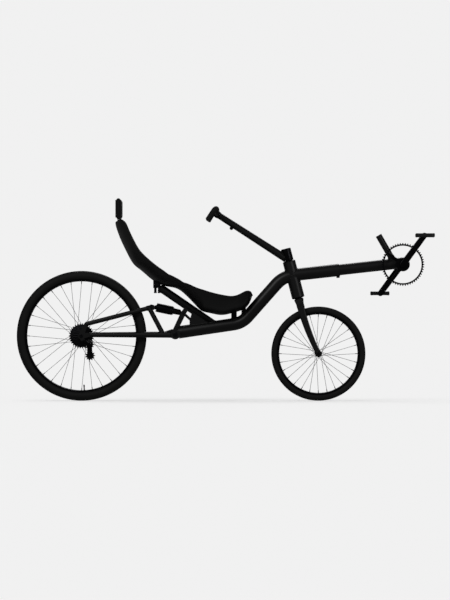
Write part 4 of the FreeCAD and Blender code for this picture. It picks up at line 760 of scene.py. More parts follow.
# %% Fit the valves
REAR_VALVE_AT, FRONT_VALVE_AT = math.radians(-87.2), math.radians(109.3)    # up from +X


def valve(name, centre, rim_r, angle, body):
    """A stem, a nut and a cap on one line towards the axle."""
    inward = -np.array([math.cos(angle), 0, math.sin(angle)])
    foot = centre - inward * rim_r
    outline = [(-0.003, 0), (-0.003, 0.0045), (0.0, 0.0045), (0.002, 0.0042), (0.002, 0.003), (0.016, 0.003),
               (0.016, 0.0036), (0.027, 0.0034), (0.028, 0.0)]
    return piece(name, [turned(eased(outline, 0.0004), foot, inward, 24)], body, "black_steel")


valve("rear_valve", REAR, REAR_SEAT_R, REAR_VALVE_AT, "rear_wheel")
valve("front_valve", FRONT, FRONT_SEAT_R, FRONT_VALVE_AT, "front_wheel")

# %% [markdown]
# ## Pads
# A pad is foam in a sewn cover. Each starts as its solid, remeshed evenly and drawn in a little,
# and is then blown up as cloth, so that the cover bellies between its edges. No point may travel
# further than a cap. Stitched channels are pressed in afterwards.

# %% Blow up the pads
AIR = 4.0                       # pressure inside the cover, in the simulation's own unit
CLOTH_STEPS = 20


def baked(thing):
    """The object's mesh with its modifiers carried out."""
    return bpy.data.meshes.new_from_object(thing.evaluated_get(bpy.context.evaluated_depsgraph_get()))


def swollen(node, voxel, drawn_in, cap):
    """A solid's even, slightly shrunken mesh, blown up as cloth."""
    thing = bpy.data.objects.new("pad_in_work", frame["nodes"][node].data.copy())
    bpy.context.scene.collection.objects.link(thing)
    even = thing.modifiers.new("even", "REMESH")
    even.mode, even.voxel_size = "VOXEL", voxel
    mesh = baked(thing)
    thing.modifiers.clear()
    normals = np.zeros(len(mesh.vertices) * 3, np.float32)
    mesh.vertices.foreach_get("normal", normals)
    start = coordinates(mesh) - drawn_in * normals.reshape(-1, 3)
    mesh.vertices.foreach_set("co", start.reshape(-1).astype(np.float32))
    thing.data = mesh
    moved = np.zeros_like(start)
    cloth = thing.modifiers.new("blown up", "CLOTH")
    cloth.settings.use_pressure = True
    cloth.settings.uniform_pressure_force = AIR
    cloth.settings.effector_weights.gravity = 0.0
    for step in range(1, CLOTH_STEPS + 1):
        bpy.context.scene.frame_set(step)
    moved = coordinates(baked(thing)) - start
    far = np.linalg.norm(moved, axis=1)[:, None]
    moved *= np.minimum(1, cap / np.maximum(far, 1e-9))
    bpy.context.scene.frame_set(1)
    thing.modifiers.clear()
    bpy.data.objects.remove(thing)
    mesh.vertices.foreach_set("co", (start + moved).reshape(-1).astype(np.float32))
    furthest = float(np.linalg.norm(moved, axis=1).max())
    print(node, "points", len(start), "moved up to", round(furthest * 1000, 1), "mm")
    return mesh


# %% [markdown]
# The seat pad is bent, so its own length is measured round a centre above the lap: the angle of a
# point, seen from there, is turned into metres along the middle of the pad.

# %% The seat pad's own directions
SEAT_CENTRE = np.array([0.05, 0.45])    # x and z of the point that sees the whole pad
MIDDLE_STRIP = 0.02             # half the width of the strip that is measured


def along_pad(points):
    """Angle about the seat's centre, from the top of the back (0) to the front."""
    return np.arctan2(points[:, 2] - SEAT_CENTRE[1], points[:, 0] - SEAT_CENTRE[0]) % (2 * np.pi)


def pad_ruler(points, bins=48):
    """Angles, the metres along the middle of the pad at each, and the x and z of the line that they
    are measured on: the mean points of thin slices of its middle strip."""
    strip = points[np.abs(points[:, 1]) < MIDDLE_STRIP]
    angle = along_pad(strip)
    edges = np.linspace(angle.min(), angle.max(), bins + 1)
    which = np.clip(np.digitize(angle, edges) - 1, 0, bins - 1)
    line = np.stack([[strip[which == k, i].mean() for k in range(bins)] for i in (0, 2)], -1)
    steps = np.linalg.norm(np.diff(line, axis=0), axis=1)
    return (edges[:-1] + edges[1:]) / 2, np.concatenate([[0], np.cumsum(steps)]), line


def lay_cloth(mesh, u, v):
    """A UV map in metres, from one (u, v) for each point."""
    layer = mesh.uv_layers.new(name="cloth")
    corner = np.zeros(len(mesh.loops), np.int32)
    mesh.loops.foreach_get("vertex_index", corner)
    layer.data.foreach_set("uv", np.stack([u[corner], v[corner]], -1).reshape(-1).astype(np.float32))


def pad(name, node, mesh, body):
    """A finished pad: one level of subdivision over its sewn mesh."""
    thing = put(name, mesh, body, "seat_fabric", [node])
    thing.data.shade_smooth()
    round_off = thing.modifiers.new("round off", "SUBSURF")
    round_off.levels = round_off.render_levels = 1
    return thing


# %% [markdown]
# Channels are stitched across the seat pad every 70 mm and down its two sides, so that the middle
# panel stands a little proud of the bolsters. The stitching pulls down only the side that the
# rider sits on.

# %% Sew the seat pad
CHANNEL_STEP = 0.07
CHANNEL_DEEP = 0.006
CHANNEL_WIDE = 0.007
BOLSTER_AT = 0.62               # share of the pad's half width
HOLLOW = 0.28                   # twice the radius of the bucket's hollow, which lifts the pad's edges

seat_mesh = swollen("seat_pad", voxel=0.0055, drawn_in=0.004, cap=0.007)
points = coordinates(seat_mesh)
ruler_angle, ruler_metres, pad_line = pad_ruler(points)
length_at = np.interp(along_pad(points), ruler_angle, ruler_metres)
mid_x, mid_z = (np.interp(length_at, ruler_metres, pad_line[:, i]) for i in (0, 1))
inwards = np.stack([SEAT_CENTRE[0] - mid_x, 0 * mid_x, SEAT_CENTRE[1] - mid_z], -1)
inwards /= np.linalg.norm(inwards, axis=1)[:, None]
height = ((points - np.stack([mid_x, 0 * mid_x, mid_z], -1)) * inwards).sum(1)
top_side = smooth_step(height - points[:, 1] ** 2 / HOLLOW, -0.004, 0.006)
half_wide = half_size("seat_pad")[1]
across_seam = np.abs((length_at + CHANNEL_STEP / 2) % CHANNEL_STEP - CHANNEL_STEP / 2)
side_seam = np.abs(np.abs(points[:, 1]) - BOLSTER_AT * half_wide)
inside = np.abs(points[:, 1]) < BOLSTER_AT * half_wide
across_dip, side_dip = (np.exp(-(seam / CHANNEL_WIDE) ** 2) for seam in (across_seam, side_seam))
dip = np.maximum(across_dip * inside, side_dip)
points -= (CHANNEL_DEEP * dip * top_side)[:, None] * inwards
seat_mesh.vertices.foreach_set("co", points.reshape(-1).astype(np.float32))
lay_cloth(seat_mesh, points[:, 1], length_at)
pad("seat_pad_sewn", "seat_pad", seat_mesh, "frame")

# %% [markdown]
# The headrest is sewn in the same way, with one seam at each side of its front.

# %% Sew the headrest
HEAD_SEAM_AT, HEAD_SEAM_DEEP, HEAD_SEAM_WIDE = 0.5, 0.004, 0.006    # the first is a share, as above

head_mesh = swollen("headrest_pad", voxel=0.004, drawn_in=0.0015, cap=0.005)
points = coordinates(head_mesh)
centre = middle("headrest_pad")
seam = np.abs(np.abs(points[:, 1] - centre[1]) - half_size("headrest_pad")[1] * HEAD_SEAM_AT)
front = smooth_step(points[:, 0] - centre[0], 0.0, 0.004)
points[:, 0] -= HEAD_SEAM_DEEP * np.exp(-(seam / HEAD_SEAM_WIDE) ** 2) * front
head_mesh.vertices.foreach_set("co", points.reshape(-1).astype(np.float32))
lay_cloth(head_mesh, points[:, 1], points[:, 2])
pad("headrest_pad_sewn", "headrest_pad", head_mesh, "frame")

# %% [markdown]
# A woven binding covers the seam round the edge of each pad. It follows the outermost points of
# thin slices of the sewn mesh, smoothed into one loop.

# %% Bind the pads' edges
BINDING_R = 0.0028
STEP = 0.006                    # between the points of an edge's path


def smoothed_loop(path, passes):
    """Each point of a closed path replaced by (before + 2 * itself + after) / 4, a few times."""
    for _ in range(passes):
        path = (np.roll(path, 1, 0) + 2 * path + np.roll(path, -1, 0)) / 4
    return path


def spaced(path, gap):
    """The same closed path with its points an even distance apart."""
    closed = np.vstack([path, path[:1]])
    metres = metres_along(closed)
    wanted = np.linspace(0, metres[-1], int(metres[-1] / gap), endpoint=False)
    return np.stack([np.interp(wanted, metres, closed[:, i]) for i in range(3)], -1)


def outline_of(points, first, second, slices):
    """The outermost points of a cloud, slice by slice about its middle in two of its directions."""
    a, b = (way - (way.min() + way.max()) / 2 for way in (first, second))
    a, b = a / np.abs(a).max(), b / np.abs(b).max()
    reach = np.maximum(np.abs(a), np.abs(b))
    which = ((np.arctan2(b, a) + np.pi) / (2 * np.pi) * slices).astype(int) % slices
    return np.array([points[which == k][np.argmax(reach[which == k])]
                     for k in range(slices) if (which == k).any()])


seat_points, head_points = coordinates(seat_mesh), coordinates(head_mesh)
seat_edge = outline_of(seat_points, seat_points[:, 1], length_at, 160)
head_edge = outline_of(head_points, head_points[:, 1], head_points[:, 2], 90)
for name, edge in (("seat_pad_binding", seat_edge), ("headrest_binding", head_edge)):
    path = smoothed_loop(spaced(smoothed_loop(edge, 4), STEP), 3)
    piece(name, [tube(path, BINDING_R, 10, loop=True)], "frame", "seat_fabric", look=binding)

# %% [markdown]
# ## Drive
# A chainring and a sprocket are the same shape at different sizes. The pitch circle's radius is
# half a link over sin(pi / teeth); a roller's seat dips 3.3 mm inside it, and a tooth stands 3 mm
# outside it and thins towards its tip.

# %% Cut the sprockets
LINK = 0.0127
TOOTH_IN, TOOTH_OUT = 0.0033, 0.003


def pitch_radius(teeth):
    """The radius on which the chain's pins lie."""
    return LINK / 2 / math.sin(math.pi / teeth)


def toothed(centre, teeth, y, thick, bore):
    """A toothed ring: the rim's radius is seat + (tip - seat) * s, with s a smooth step on |phase|."""
    seat, tip = pitch_radius(teeth) - TOOTH_IN, pitch_radius(teeth) + TOOTH_OUT
    u = turns(teeth * 12)
    phase = np.abs((u * teeth / (2 * np.pi) + 0.5) % 1 - 0.5)
    rim_r = seat + (tip - seat) * smooth_step(-phase, -0.33, -0.09)
    t, hole, root = thick / 2, np.full_like(u, bore), np.full_like(u, seat - 0.0025)
    section = [(hole, -t), (root, -t), (rim_r - 0.0006, -t * 0.6), (rim_r, -t * 0.3), (rim_r, t * 0.3),
               (rim_r - 0.0006, t * 0.6), (root, t), (hole, t)]
    grid = np.stack([np.stack([centre[0] + r * np.cos(u), np.full_like(u, centre[1] + y + off),
                               centre[2] + r * np.sin(u)], -1) for r, off in section], 1)
    return skin(grid, wrap_rows=True)


SPROCKETS = (30, 27, 24, 21, 19, 17, 15, 13, 11)
SPROCKET_STEP, SPROCKET_T, SPROCKET_BORE = 0.0043, 0.0018, 0.019
BIG_SPROCKET_Y = -0.0274                # middle of the largest sprocket
sprocket_ys = [BIG_SPROCKET_Y - i * SPROCKET_STEP for i in range(len(SPROCKETS))]
stack = [toothed(REAR, teeth, y, SPROCKET_T, SPROCKET_BORE) for teeth, y in zip(SPROCKETS, sprocket_ys)]
carrier = [(y - s * 0.0014, r) for y in sprocket_ys for s, r in ((-1, 0.0195), (0, 0.0192), (1, 0.0195))]
carrier = [(carrier[0][0], 0.0172)] + carrier + [(carrier[-1][0], 0.0172)]
stack.append(turned(carrier, REAR, ACROSS, 48, ring=True))
piece("cassette_cut", stack, "rear_wheel", "black_steel", ["cassette"])

RING_TEETH, RING_Y, RING_T = 52, -0.0502, 0.0034
RING_BORE = pitch_radius(RING_TEETH) - TOOTH_IN - 0.008
chainring = toothed(CRANK, RING_TEETH, RING_Y, RING_T, RING_BORE)
piece("chainring_cut", [chainring], "crankset", "chainring_alloy", ["chainring"])

# %% [markdown]
# A forged arm has no flat sides: its section is a superellipse, |x / a|^n + |y / b|^n = 1, whose
# half width follows the outline that wraps the two bosses. A shallow flute runs down its face.


# %% Forge the crank arms
def squared(angles, power):
    """cos and sin of a superellipse: both bulge towards the corners as the power grows."""
    return [np.sign(part) * np.abs(part) ** (2 / power) for part in (np.cos(angles), np.sin(angles))]


def forged(start, end, radii, y, thick, power=4.0, flute=0.0, rows=72, columns=32):
    """A bar in the side plane from start to end, rounded about each, with a flute on its outer face."""
    start, end = np.asarray(start)[[0, 2]], np.asarray(end)[[0, 2]]
    length = np.linalg.norm(end - start)
    ahead = (end - start) / length
    lean = (radii[0] - radii[1]) / length
    level = math.sqrt(1 - lean ** 2)
    x = np.linspace(-1, 1, rows)
    x = (length + radii[0] + radii[1]) * (x * (3 - x * x) + 2) / 4 - radii[0]
    wide = np.sqrt(np.maximum(radii[0] ** 2 - x ** 2, 0)) * (x < radii[0] * lean)
    wide += np.sqrt(np.maximum(radii[1] ** 2 - (x - length) ** 2, 0)) * (x > length + radii[1] * lean)
    between = (x >= radii[0] * lean) & (x <= length + radii[1] * lean)
    wide += (radii[0] / level - lean / level * x) * between
    side, face = squared(turns(columns), power)
    across, out = wide[:, None] * side, np.broadcast_to(thick / 2 * face, (rows, columns)).copy()
    run = smooth_step(x, radii[0] * 1.3, radii[0] * 2.2)
    run = run * (1 - smooth_step(x, length - radii[1] * 2, length - radii[1]))
    hollow = run[:, None] * np.exp(-(across / (0.42 * min(radii))) ** 4) * (face > 0.6)
    out -= flute * hollow
    grid = np.stack([start[0] + ahead[0] * x[:, None] - ahead[1] * across, y + np.sign(y) * out,
                     start[1] + ahead[1] * x[:, None] + ahead[0] * across], -1)
    return skin(grid)


CRANK_Y, CRANK_T = 0.058, 0.013         # inner face, and thickness
CRANK_RADII = (0.0165, 0.0145)          # of the two bosses
BORE = 0.0091
SPIDER_IN, SPIDER_OUT, SPIDER_R = -0.052, -0.058, 0.035
ARM_RADII = (0.0095, 0.0045)
RIGHT, LEFT = middle("right_pedal"), middle("left_pedal")


def screw(point, axis, radius, tall, hexagon=0.0):
    """A socket-head screw standing on point; the socket's hexagon has its corner radius."""
    profile = eased([(0, 0), (0, radius), (tall, radius), (tall, hexagon or 0.0)], radius * 0.12)
    if not hexagon:
        return turned(profile, point, axis, 28)
    body = [(0, radius), *profile[2:-1], (tall, hexagon * 1.02)]
    outer = turned(np.vstack([[(0, 0)], body, [(tall - 0.0001, hexagon)]]), point, axis, 30)
    socket = [(tall, hexagon), (tall - radius * 0.6, hexagon), (tall - radius * 0.75, 0)]
    points, faces = outer
    last = len(points) - 1
    opened = points[:-1], [face for face in faces if last not in face]
    return joined([opened, turned(socket, point, axis, 6)])


def crank(name, node, pedal_at, side, extra=()):
    """An arm with its boss and the nut that holds it."""
    arm = forged(CRANK, pedal_at, CRANK_RADII, side * (CRANK_Y + CRANK_T / 2), CRANK_T, flute=0.0016)
    big, top = CRANK_RADII[0], CRANK_Y + 0.004
    profile = [(0.039, BORE), (0.039, big - 0.001), (0.05, big), (top, big), (top, BORE)]
    boss = hoop(profile, 0.001, CRANK, ACROSS * side, 48)
    face = CRANK + ACROSS * side * (CRANK_Y + CRANK_T - 0.0008)
    nut = screw(face, ACROSS * side, 0.0085, 0.0006, 0.0046)
    return piece(name, [arm, boss, nut, *extra], "crankset", "black_alloy", [node])


arm_turn = math.atan2(RIGHT[2] - CRANK[2], RIGHT[0] - CRANK[0])
spider_y, spider_t = (SPIDER_IN + SPIDER_OUT) / 2, SPIDER_IN - SPIDER_OUT
spider = [collar(CRANK, ACROSS, SPIDER_OUT, SPIDER_IN, BORE, SPIDER_R, 0.0012, 72)]
for turn in (0.0, 90.0, 180.0):
    angle = arm_turn + math.radians(turn)
    way = np.array([math.cos(angle), 0, math.sin(angle)])
    foot = CRANK + way * (RING_BORE + 0.0035)
    spider.append(forged(CRANK + way * 0.02, foot, ARM_RADII, spider_y, spider_t, rows=28, columns=20))
    spider.append(screw(foot + ACROSS * (SPIDER_OUT + 0.0002), -ACROSS, 0.0042, 0.0016, 0.0022))
crank("right_crank_forged", "right_crank", RIGHT, -1, spider)
crank("left_crank_forged", "left_crank", LEFT, 1)

# %% [markdown]
# A platform pedal is moulded in nylon: a rounded frame, a barrel on its spindle, cross webs, and
# short steel pins that grip the sole. The frame is a superellipse section carried round a
# rounded rectangle.

# %% Mould the pedals
RAIL = 0.0055                   # half the width of the frame's section
CORNER = 0.011


def superellipse(across, up, power=4.0, sides=20):
    """Points of |x / across|^n + |y / up|^n = 1."""
    return np.stack(squared(turns(sides), power), -1) * (across, up)


def rounded_loop(half_x, half_y, radius, steps=7):
    """A rounded rectangle about the origin in the x-y plane."""
    t = np.linspace(0, np.pi / 2, steps)
    path = []
    for quarter, (sx, sy) in enumerate(((1, 1), (-1, 1), (-1, -1), (1, -1))):
        turn = t + quarter * np.pi / 2
        corner = (sx * (half_x - radius), sy * (half_y - radius))
        path += [(corner[0] + radius * math.cos(a), corner[1] + radius * math.sin(a), 0) for a in turn]
    return np.array(path)


def pedal(name, node, side, body):
    """Frame, webs, barrel and pins."""
    centre, half = middle(node), half_size(node)
    tall = half[2] - 0.001
    loop = spaced(rounded_loop(half[0] - RAIL, half[1] - RAIL, CORNER), 0.004) + centre
    parts = [carried(loop, superellipse(tall, RAIL), side=(0, 0, 1), loop=True)]
    for dy in (-0.5, 0.0, 0.5):
        for sx in (-1, 1):
            ends = [centre + [sx * x, dy * half[1] * 1.3, 0] for x in (0.009, half[0] - 0.008)]
            parts.append(carried(np.linspace(*ends, 6), superellipse(0.0062, 0.0016), side=(0, 0, 1)))
    barrel = eased([(-half[1] + 0.001, 0.0068), (-half[1] + 0.001, 0.0102), (-half[1] * 0.4, 0.0105),
                    (half[1] * 0.6, 0.0088), (half[1] - 0.002, 0.0086), (half[1] - 0.002, 0.0)], 0.001)
    parts.append(turned(np.vstack([[(-half[1] + 0.004, 0.0066)], barrel]), centre, ACROSS * side, 40))
    pin = [(0, 0), (0, 0.0018), (0.0019, 0.0016), (0.0019, 0)]
    for sx in (-1, 1):
        for dy in np.linspace(-0.8, 0.8, 5):
            for up in (-1, 1):
                foot = centre + [sx * (half[0] - RAIL), dy * (half[1] - RAIL), up * (tall - 0.001)]
                parts.append(turned(pin, foot, (0, 0, up), 10))
    return piece(name, parts, body, "pedal_plastic", [node])


pedal("right_pedal_moulded", "right_pedal", -1, "pedal_right")
pedal("left_pedal_moulded", "left_pedal", 1, "pedal_left")

# %% [markdown]
# ## Shock
# The shock is an air spring: a can with its rear eye, a damper body that slides into it, and a
# front eye. All of it comes off a lathe, so each part is a profile turned about the line between
# the eyes, with the grooves and knurls that a hand or a wrench needs.

# %% Turn the shock
EYES = lump_middles("shock_bolts")
SHOCK_L = np.linalg.norm(EYES[1] - EYES[0])
SHOCK_AHEAD = (EYES[1] - EYES[0]) / SHOCK_L
CAN_FROM, CAN_TO, CAN_R = 0.026, 0.114, 0.0228
DAMPER_R, EYE_R, EYE_W, NECK_R = 0.015, 0.0095, 0.026, 0.0071
TRAVEL_RING_R, TRAVEL_RING_AT = 0.0011, 0.004
AIR_VALVE_AT = 0.042


def eye(point):
    """A bushed eye across the bicycle, and the thin bush inside it."""
    w = EYE_W / 2
    outer = collar(point, ACROSS, -w + 0.0012, w - 0.0012, 0.0062, EYE_R, 0.0009, 40)
    bush = collar(point, ACROSS, -w, w, 0.0042, 0.006, 0.0004, 32)
    return joined([outer, bush])


def knurled(start, end, radius, count, depth, point, axis):
    """A grip band: radius less depth where |cos(count * u / 2)| is small, u going round."""
    u = turns(count * 6)
    cut = depth * (1 - np.abs(np.cos(count * u / 2)) ** 0.6)
    foot = radius - depth * 1.5
    rows = [(start, foot, 0), (start + depth, radius, 1), (end - depth, radius, 1), (end, foot, 0)]
    around = rays(u, *square_to(axis))
    return skin(np.stack([point + axis * at + (r - cut[:, None] * on) * around for at, r, on in rows]))


can_profile = [(0.005, 0.0), (0.005, NECK_R), (0.0185, NECK_R), (0.0205, 0.0105), (CAN_FROM, 0.0125),
               (CAN_FROM, CAN_R), (0.031, CAN_R), (0.0315, CAN_R - 0.0009), (0.033, CAN_R - 0.0009),
               (0.0335, CAN_R), (0.098, CAN_R), (0.0985, CAN_R - 0.0012), (0.1005, CAN_R - 0.0012),
               (0.101, CAN_R - 0.0003), (0.104, CAN_R - 0.0003), (0.1115, 0.0205), (CAN_TO, 0.0185),
               (CAN_TO, 0.0)]
can = turned(eased(can_profile, 0.0008, 4), EYES[0], SHOCK_AHEAD, 96)
ring_nut = knurled(0.1012, 0.1072, CAN_R, 44, 0.0006, EYES[0], SHOCK_AHEAD)
piece("shock_can_turned", [can, ring_nut, eye(EYES[0])], "frame", "black_alloy", ["shock_can"], turned_alloy)

damper_end = SHOCK_L - 0.016
damper = turned(eased([(CAN_TO - 0.02, 0.0), (CAN_TO - 0.02, DAMPER_R), (damper_end - 0.011, DAMPER_R),
                       (damper_end - 0.0105, 0.0142), (damper_end - 0.001, 0.0142), (damper_end, 0.0125),
                       (damper_end + 0.0015, 0.009), (damper_end + 0.003, NECK_R), (SHOCK_L - 0.005, NECK_R),
                       (SHOCK_L - 0.005, 0.0)], 0.0006), EYES[0], SHOCK_AHEAD, 80)
dial = knurled(damper_end - 0.0085, damper_end - 0.003, 0.0149, 30, 0.0005, EYES[0], SHOCK_AHEAD)
piece("shock_damper_turned", [damper, dial, eye(EYES[1])], "frame", "shock_shaft", ["shock_shaft"])

travel = circle(TRAVEL_RING_R, 10) + (CAN_TO + TRAVEL_RING_AT, DAMPER_R + 0.0006)
travel_ring = turned(travel, EYES[0], SHOCK_AHEAD, 60, ring=True)
piece("shock_travel_ring", [travel_ring], "frame", "grip_rubber")
valve_foot = EYES[0] + SHOCK_AHEAD * AIR_VALVE_AT + ACROSS * CAN_R
air_valve = eased([(-0.003, 0.0), (-0.003, 0.0048), (0.0012, 0.0048), (0.0016, 0.0042), (0.0075, 0.0041),
                   (0.0085, 0.0033), (0.0085, 0.0)], 0.0005)
piece("shock_air_valve", [turned(air_valve, valve_foot, ACROSS, 28)], "frame", "black_steel")

# %% [markdown]
# ## Nuts and bolts
# A real nut is a hexagon whose corners have been turned off by a cone. That is one formula: the
# radius is the smaller of the hexagon's and the cone's. A bolt's end shows its thread.


# %% Make fasteners
def hex_nut(point, axis, flats, tall, bore=0.0, sides=48):
    """r(u, v) = min(a / cos w, cone(v)): a is half the width across flats, w the angle from the middle
    of the nearest flat. A nut with no bore is a bolt's head."""
    axis = np.asarray(axis, float)
    u = turns(sides)
    w = (u + np.pi / 6) % (np.pi / 3) - np.pi / 6
    hexagon = flats / 2 / np.cos(w)
    cone = [(0.0, 0.98), (0.1, 1.06), (0.2, 1.2), (0.78, 1.2), (0.9, 1.08), (1.0, 0.97)]
    rows = [(share * tall, np.minimum(hexagon, k * flats / 2)) for share, k in cone]
    if bore:
        well = [(tall, bore + 0.0004), (tall - 0.0004, bore), (0.0, bore)]
        rows += [(at, np.full(sides, r)) for at, r in well]
    around = rays(u, *square_to(axis))
    grid = np.stack([np.asarray(point) + axis * at + r[:, None] * around for at, r in rows])
    return skin(grid, wrap_rows=bool(bore))


def threaded(point, axis, radius, long, pitch=0.001):
    """A bolt's end: a ridge and a root for each pitch, then a rounded tip."""
    ridges = max(2, int(long / pitch) - 1)
    profile = [(0, 0)] + [(i * pitch / 2, radius - (0.0005 if i % 2 else 0.0)) for i in range(2 * ridges)]
    profile += [(ridges * pitch, radius - 0.0006), (long, radius - 0.0012), (long, 0)]
    return turned(profile, point, axis, 28)


def pinch_bolt(point, out, reach, head, nut):
    """A screw on one side of a point and its nut on the other, each a reach away: the head is its
    (radius, height, socket), the nut its (flats, height) and maybe its bore."""
    return [screw(point + out * reach, out, *head), hex_nut(point - out * reach, -out, *nut)]


WASHER_T = 0.0012


def wheel_axle(name, node, radius, nut_r, body):
    """A solid axle with a washer, a nut and a bare thread at each end, inside the plain nuts' room."""
    centre, end = middle(node), half_size(node)[1]
    thread = 0.008
    face = end - thread
    parts = [rod(centre, ACROSS, -face, face, radius, 32)]
    for side in (-1, 1):
        out = ACROSS * side
        parts += [collar(centre + out * face, out, 0, WASHER_T, radius, nut_r, 0.0003, 36),
                  hex_nut(centre + out * (face + WASHER_T), out, nut_r * 1.68, 0.0048, radius),
                  threaded(centre + out * face, out, radius, thread)]
    return piece(name, parts, body, "black_steel", [node])


wheel_axle("rear_axle_bolted", "rear_axle", 0.005, 0.009, "frame")
wheel_axle("front_axle_bolted", "front_axle", 0.0045, 0.008, "fork")

# %% [markdown]
# The swingarm turns on one axle with a bolt in each end. Each eye of the shock hangs on a bolt
# with a nut.

# %% Bolt the pivots
pivot_end, bolt_end = half_size("pivot_axle")[1], half_size("shock_bolts")[1]
pivot_parts = [rod(PIVOT, ACROSS, -pivot_end + 0.003, pivot_end - 0.003, 0.0075, 40)]
for side in (-1, 1):
    face = PIVOT + ACROSS * side * (pivot_end - 0.004)
    pivot_parts.append(screw(face, ACROSS * side, 0.01275, 0.004, 0.005))
piece("pivot_axle_bolted", pivot_parts, "frame", "black_steel", ["pivot_axle"])

HEAD_TALL, SHANK_R, THREAD_R = 0.004, 0.004, 0.0039
bolt_parts = []
for spot in EYES:
    face = bolt_end - HEAD_TALL
    bolt_parts += [rod(spot, ACROSS, -bolt_end + 0.001, face, SHANK_R),
                   *pinch_bolt(spot, -ACROSS, face, (0.0068, HEAD_TALL, 0.0028), (0.0118, 0.0034, THREAD_R)),
                   threaded(spot + ACROSS * face, ACROSS, THREAD_R, HEAD_TALL)]
piece("shock_bolts_fitted", bolt_parts, "frame", "black_steel", ["shock_bolts"])

# %% [markdown]
# ## Steering
# The headset's cups are turned and pressed into the head tube, with a dark gap where each bearing
# is sealed. The stem is a sleeve round the steerer, split at the front and pinched by two bolts.
# Its top cap has one bolt in the middle, which sets the bearings.

# %% Turn the headset and the stem
HEAD, STEM = middle("head_tube"), middle("stem")
HEAD_HALF, HEAD_R, CUP_H = 0.091, 0.032, 0.007
STEM_HALF, STEM_R, STEERER_R = 0.031, 0.0248, 0.01435
CAP_T = 0.0019
STEER_AHEAD = np.cross(ACROSS, STEER_UP)
STEER_AHEAD *= np.sign(STEER_AHEAD[0])

cups = []
for way in (-1, 1):
    face = HEAD + STEER_UP * way * HEAD_HALF
    seal, rest = CUP_H - 0.0006, CUP_H - 0.0018
    profile = [(-0.014, STEERER_R), (-0.014, 0.0279), (-0.0002, 0.0279), (0.0, HEAD_R), (0.0022, HEAD_R),
               (0.0027, HEAD_R - 0.0007), (0.0034, HEAD_R - 0.0007), (0.0042, 0.0285), (seal, 0.0258),
               (seal, 0.0236), (rest, 0.0228), (rest, 0.0206), (CUP_H, 0.02), (CUP_H, STEERER_R)]
    cups.append(hoop(profile, 0.0003, face, STEER_UP * way, 96))
piece("headset_cups_turned", cups, "frame", "black_alloy", ["headset_cups"], turned_alloy)


def split_sleeve(centre, axis, facing, radius, half, slot, bore):
    """A clamp sleeve: r(u, v) = profile(v) - slot * bump(u), bump being one narrow notch on the side
    that faces the bolts, and the bore inside."""
    facing = np.asarray(facing, float)
    notch_edge = [-0.055, -0.05, -0.03, 0.03, 0.05, 0.055]
    u = np.sort(np.concatenate([np.linspace(0.06, 2 * np.pi - 0.06, 92), notch_edge]))
    notch = slot * (np.abs((u + np.pi) % (2 * np.pi) - np.pi) < 0.052)
    profile = eased([(-half, bore), (-half, radius), (half, radius), (half, bore)], 0.0016, 4, closed=True)
    cut = notch[None] * (profile[:, 1] > bore + slot * 1.2)[:, None]
    around = rays(u, facing, np.cross(axis, facing))
    grid = np.asarray(centre) + profile[:, 0, None, None] * axis
    grid = grid + (profile[:, 1][:, None] - cut)[..., None] * around[None]
    return skin(grid, wrap_rows=True)


stem_sleeve = split_sleeve(STEM - STEER_UP * 0.001, STEER_UP, STEER_AHEAD, STEM_R, STEM_HALF - 0.001,
                           0.006, 0.0145)
top = STEM + STEER_UP * (STEM_HALF - CAP_T)
cap = eased([(0, 0), (0, STEM_R - 0.0012), (0.0012, STEM_R - 0.0012), (CAP_T, STEM_R - 0.003), (CAP_T, 0.007),
             (0.0004, 0.0062), (0.0004, 0)], 0.0005)
stem_parts = [stem_sleeve, turned(cap, top, STEER_UP, 96)]
piece("stem_turned", stem_parts, "fork", "black_alloy", ["stem"], turned_alloy)
stem_screws = [screw(top + STEER_UP * 0.0003, STEER_UP, 0.0052, 0.0016, 0.0026)]
for height in (-0.014, 0.014):
    bolt_at = STEM + STEER_UP * height + STEER_AHEAD * 0.0165
    stem_screws += pinch_bolt(bolt_at, -ACROSS, 0.0165, (0.0042, 0.0042, 0.0024), (0.0078, 0.0036))
piece("stem_screws", stem_screws, "fork", "black_steel")

# %% [markdown]
# The bar clamp at the tiller's tip is a split sleeve too, lying across the bicycle, with two bolts
# beside the bar. The tiller runs into it from below and ahead.

# %% Clamp the bar
TILLER_ROOT = STEM - STEER_UP * (STEM_HALF - 0.0006)
TILLER_L = np.linalg.norm(TILLER_TIP - TILLER_ROOT)
TILLER_BACK = unit(TILLER_TIP - TILLER_ROOT)
TILLER_UP = np.cross(TILLER_BACK, ACROSS)
TILLER_UP *= np.sign(TILLER_UP[2])
CLAMP_R, CLAMP_HALF = 0.0185, 0.024
bar_sleeve = split_sleeve(TILLER_TIP, ACROSS, TILLER_BACK, CLAMP_R, CLAMP_HALF, 0.0045, 0.0112)
piece("bar_clamp_turned", [bar_sleeve], "fork", "black_alloy", ["bar_clamp"], turned_alloy)
clamp_screws = []
for dy in (-0.0145, 0.0145):
    bolt_at = TILLER_TIP + ACROSS * dy + TILLER_BACK * 0.0138
    clamp_screws += pinch_bolt(bolt_at, TILLER_UP, 0.0102, (0.0038, 0.0042, 0.0022), (0.007, 0.0035))
piece("bar_clamp_screws", clamp_screws, "fork", "black_steel")

# %% [markdown]
# The grips are soft rubber pushed over the bar's bent ends. A grip's radius rises and falls along
# it in ribs, between two plain collars, and its outer end is closed by a plug.

# %% Push on the grips
BAR_R, GRIP_R = 0.0111, 0.0135
BAR_STRAIGHT, BAR_BACK, BAR_RISE, BAR_CORNER_Y = 0.038, 0.0225, 0.027, 0.108
BAR_DROP, BAR_END_Y, BAR_BEND_R, BAR_SWEEP_R = 0.076, 0.124, 0.024, 0.060
GRIP_LEAD, GRIP_END = 0.040, 0.003
RIB_STEP, RIB_DEEP = 0.0036, 0.0011


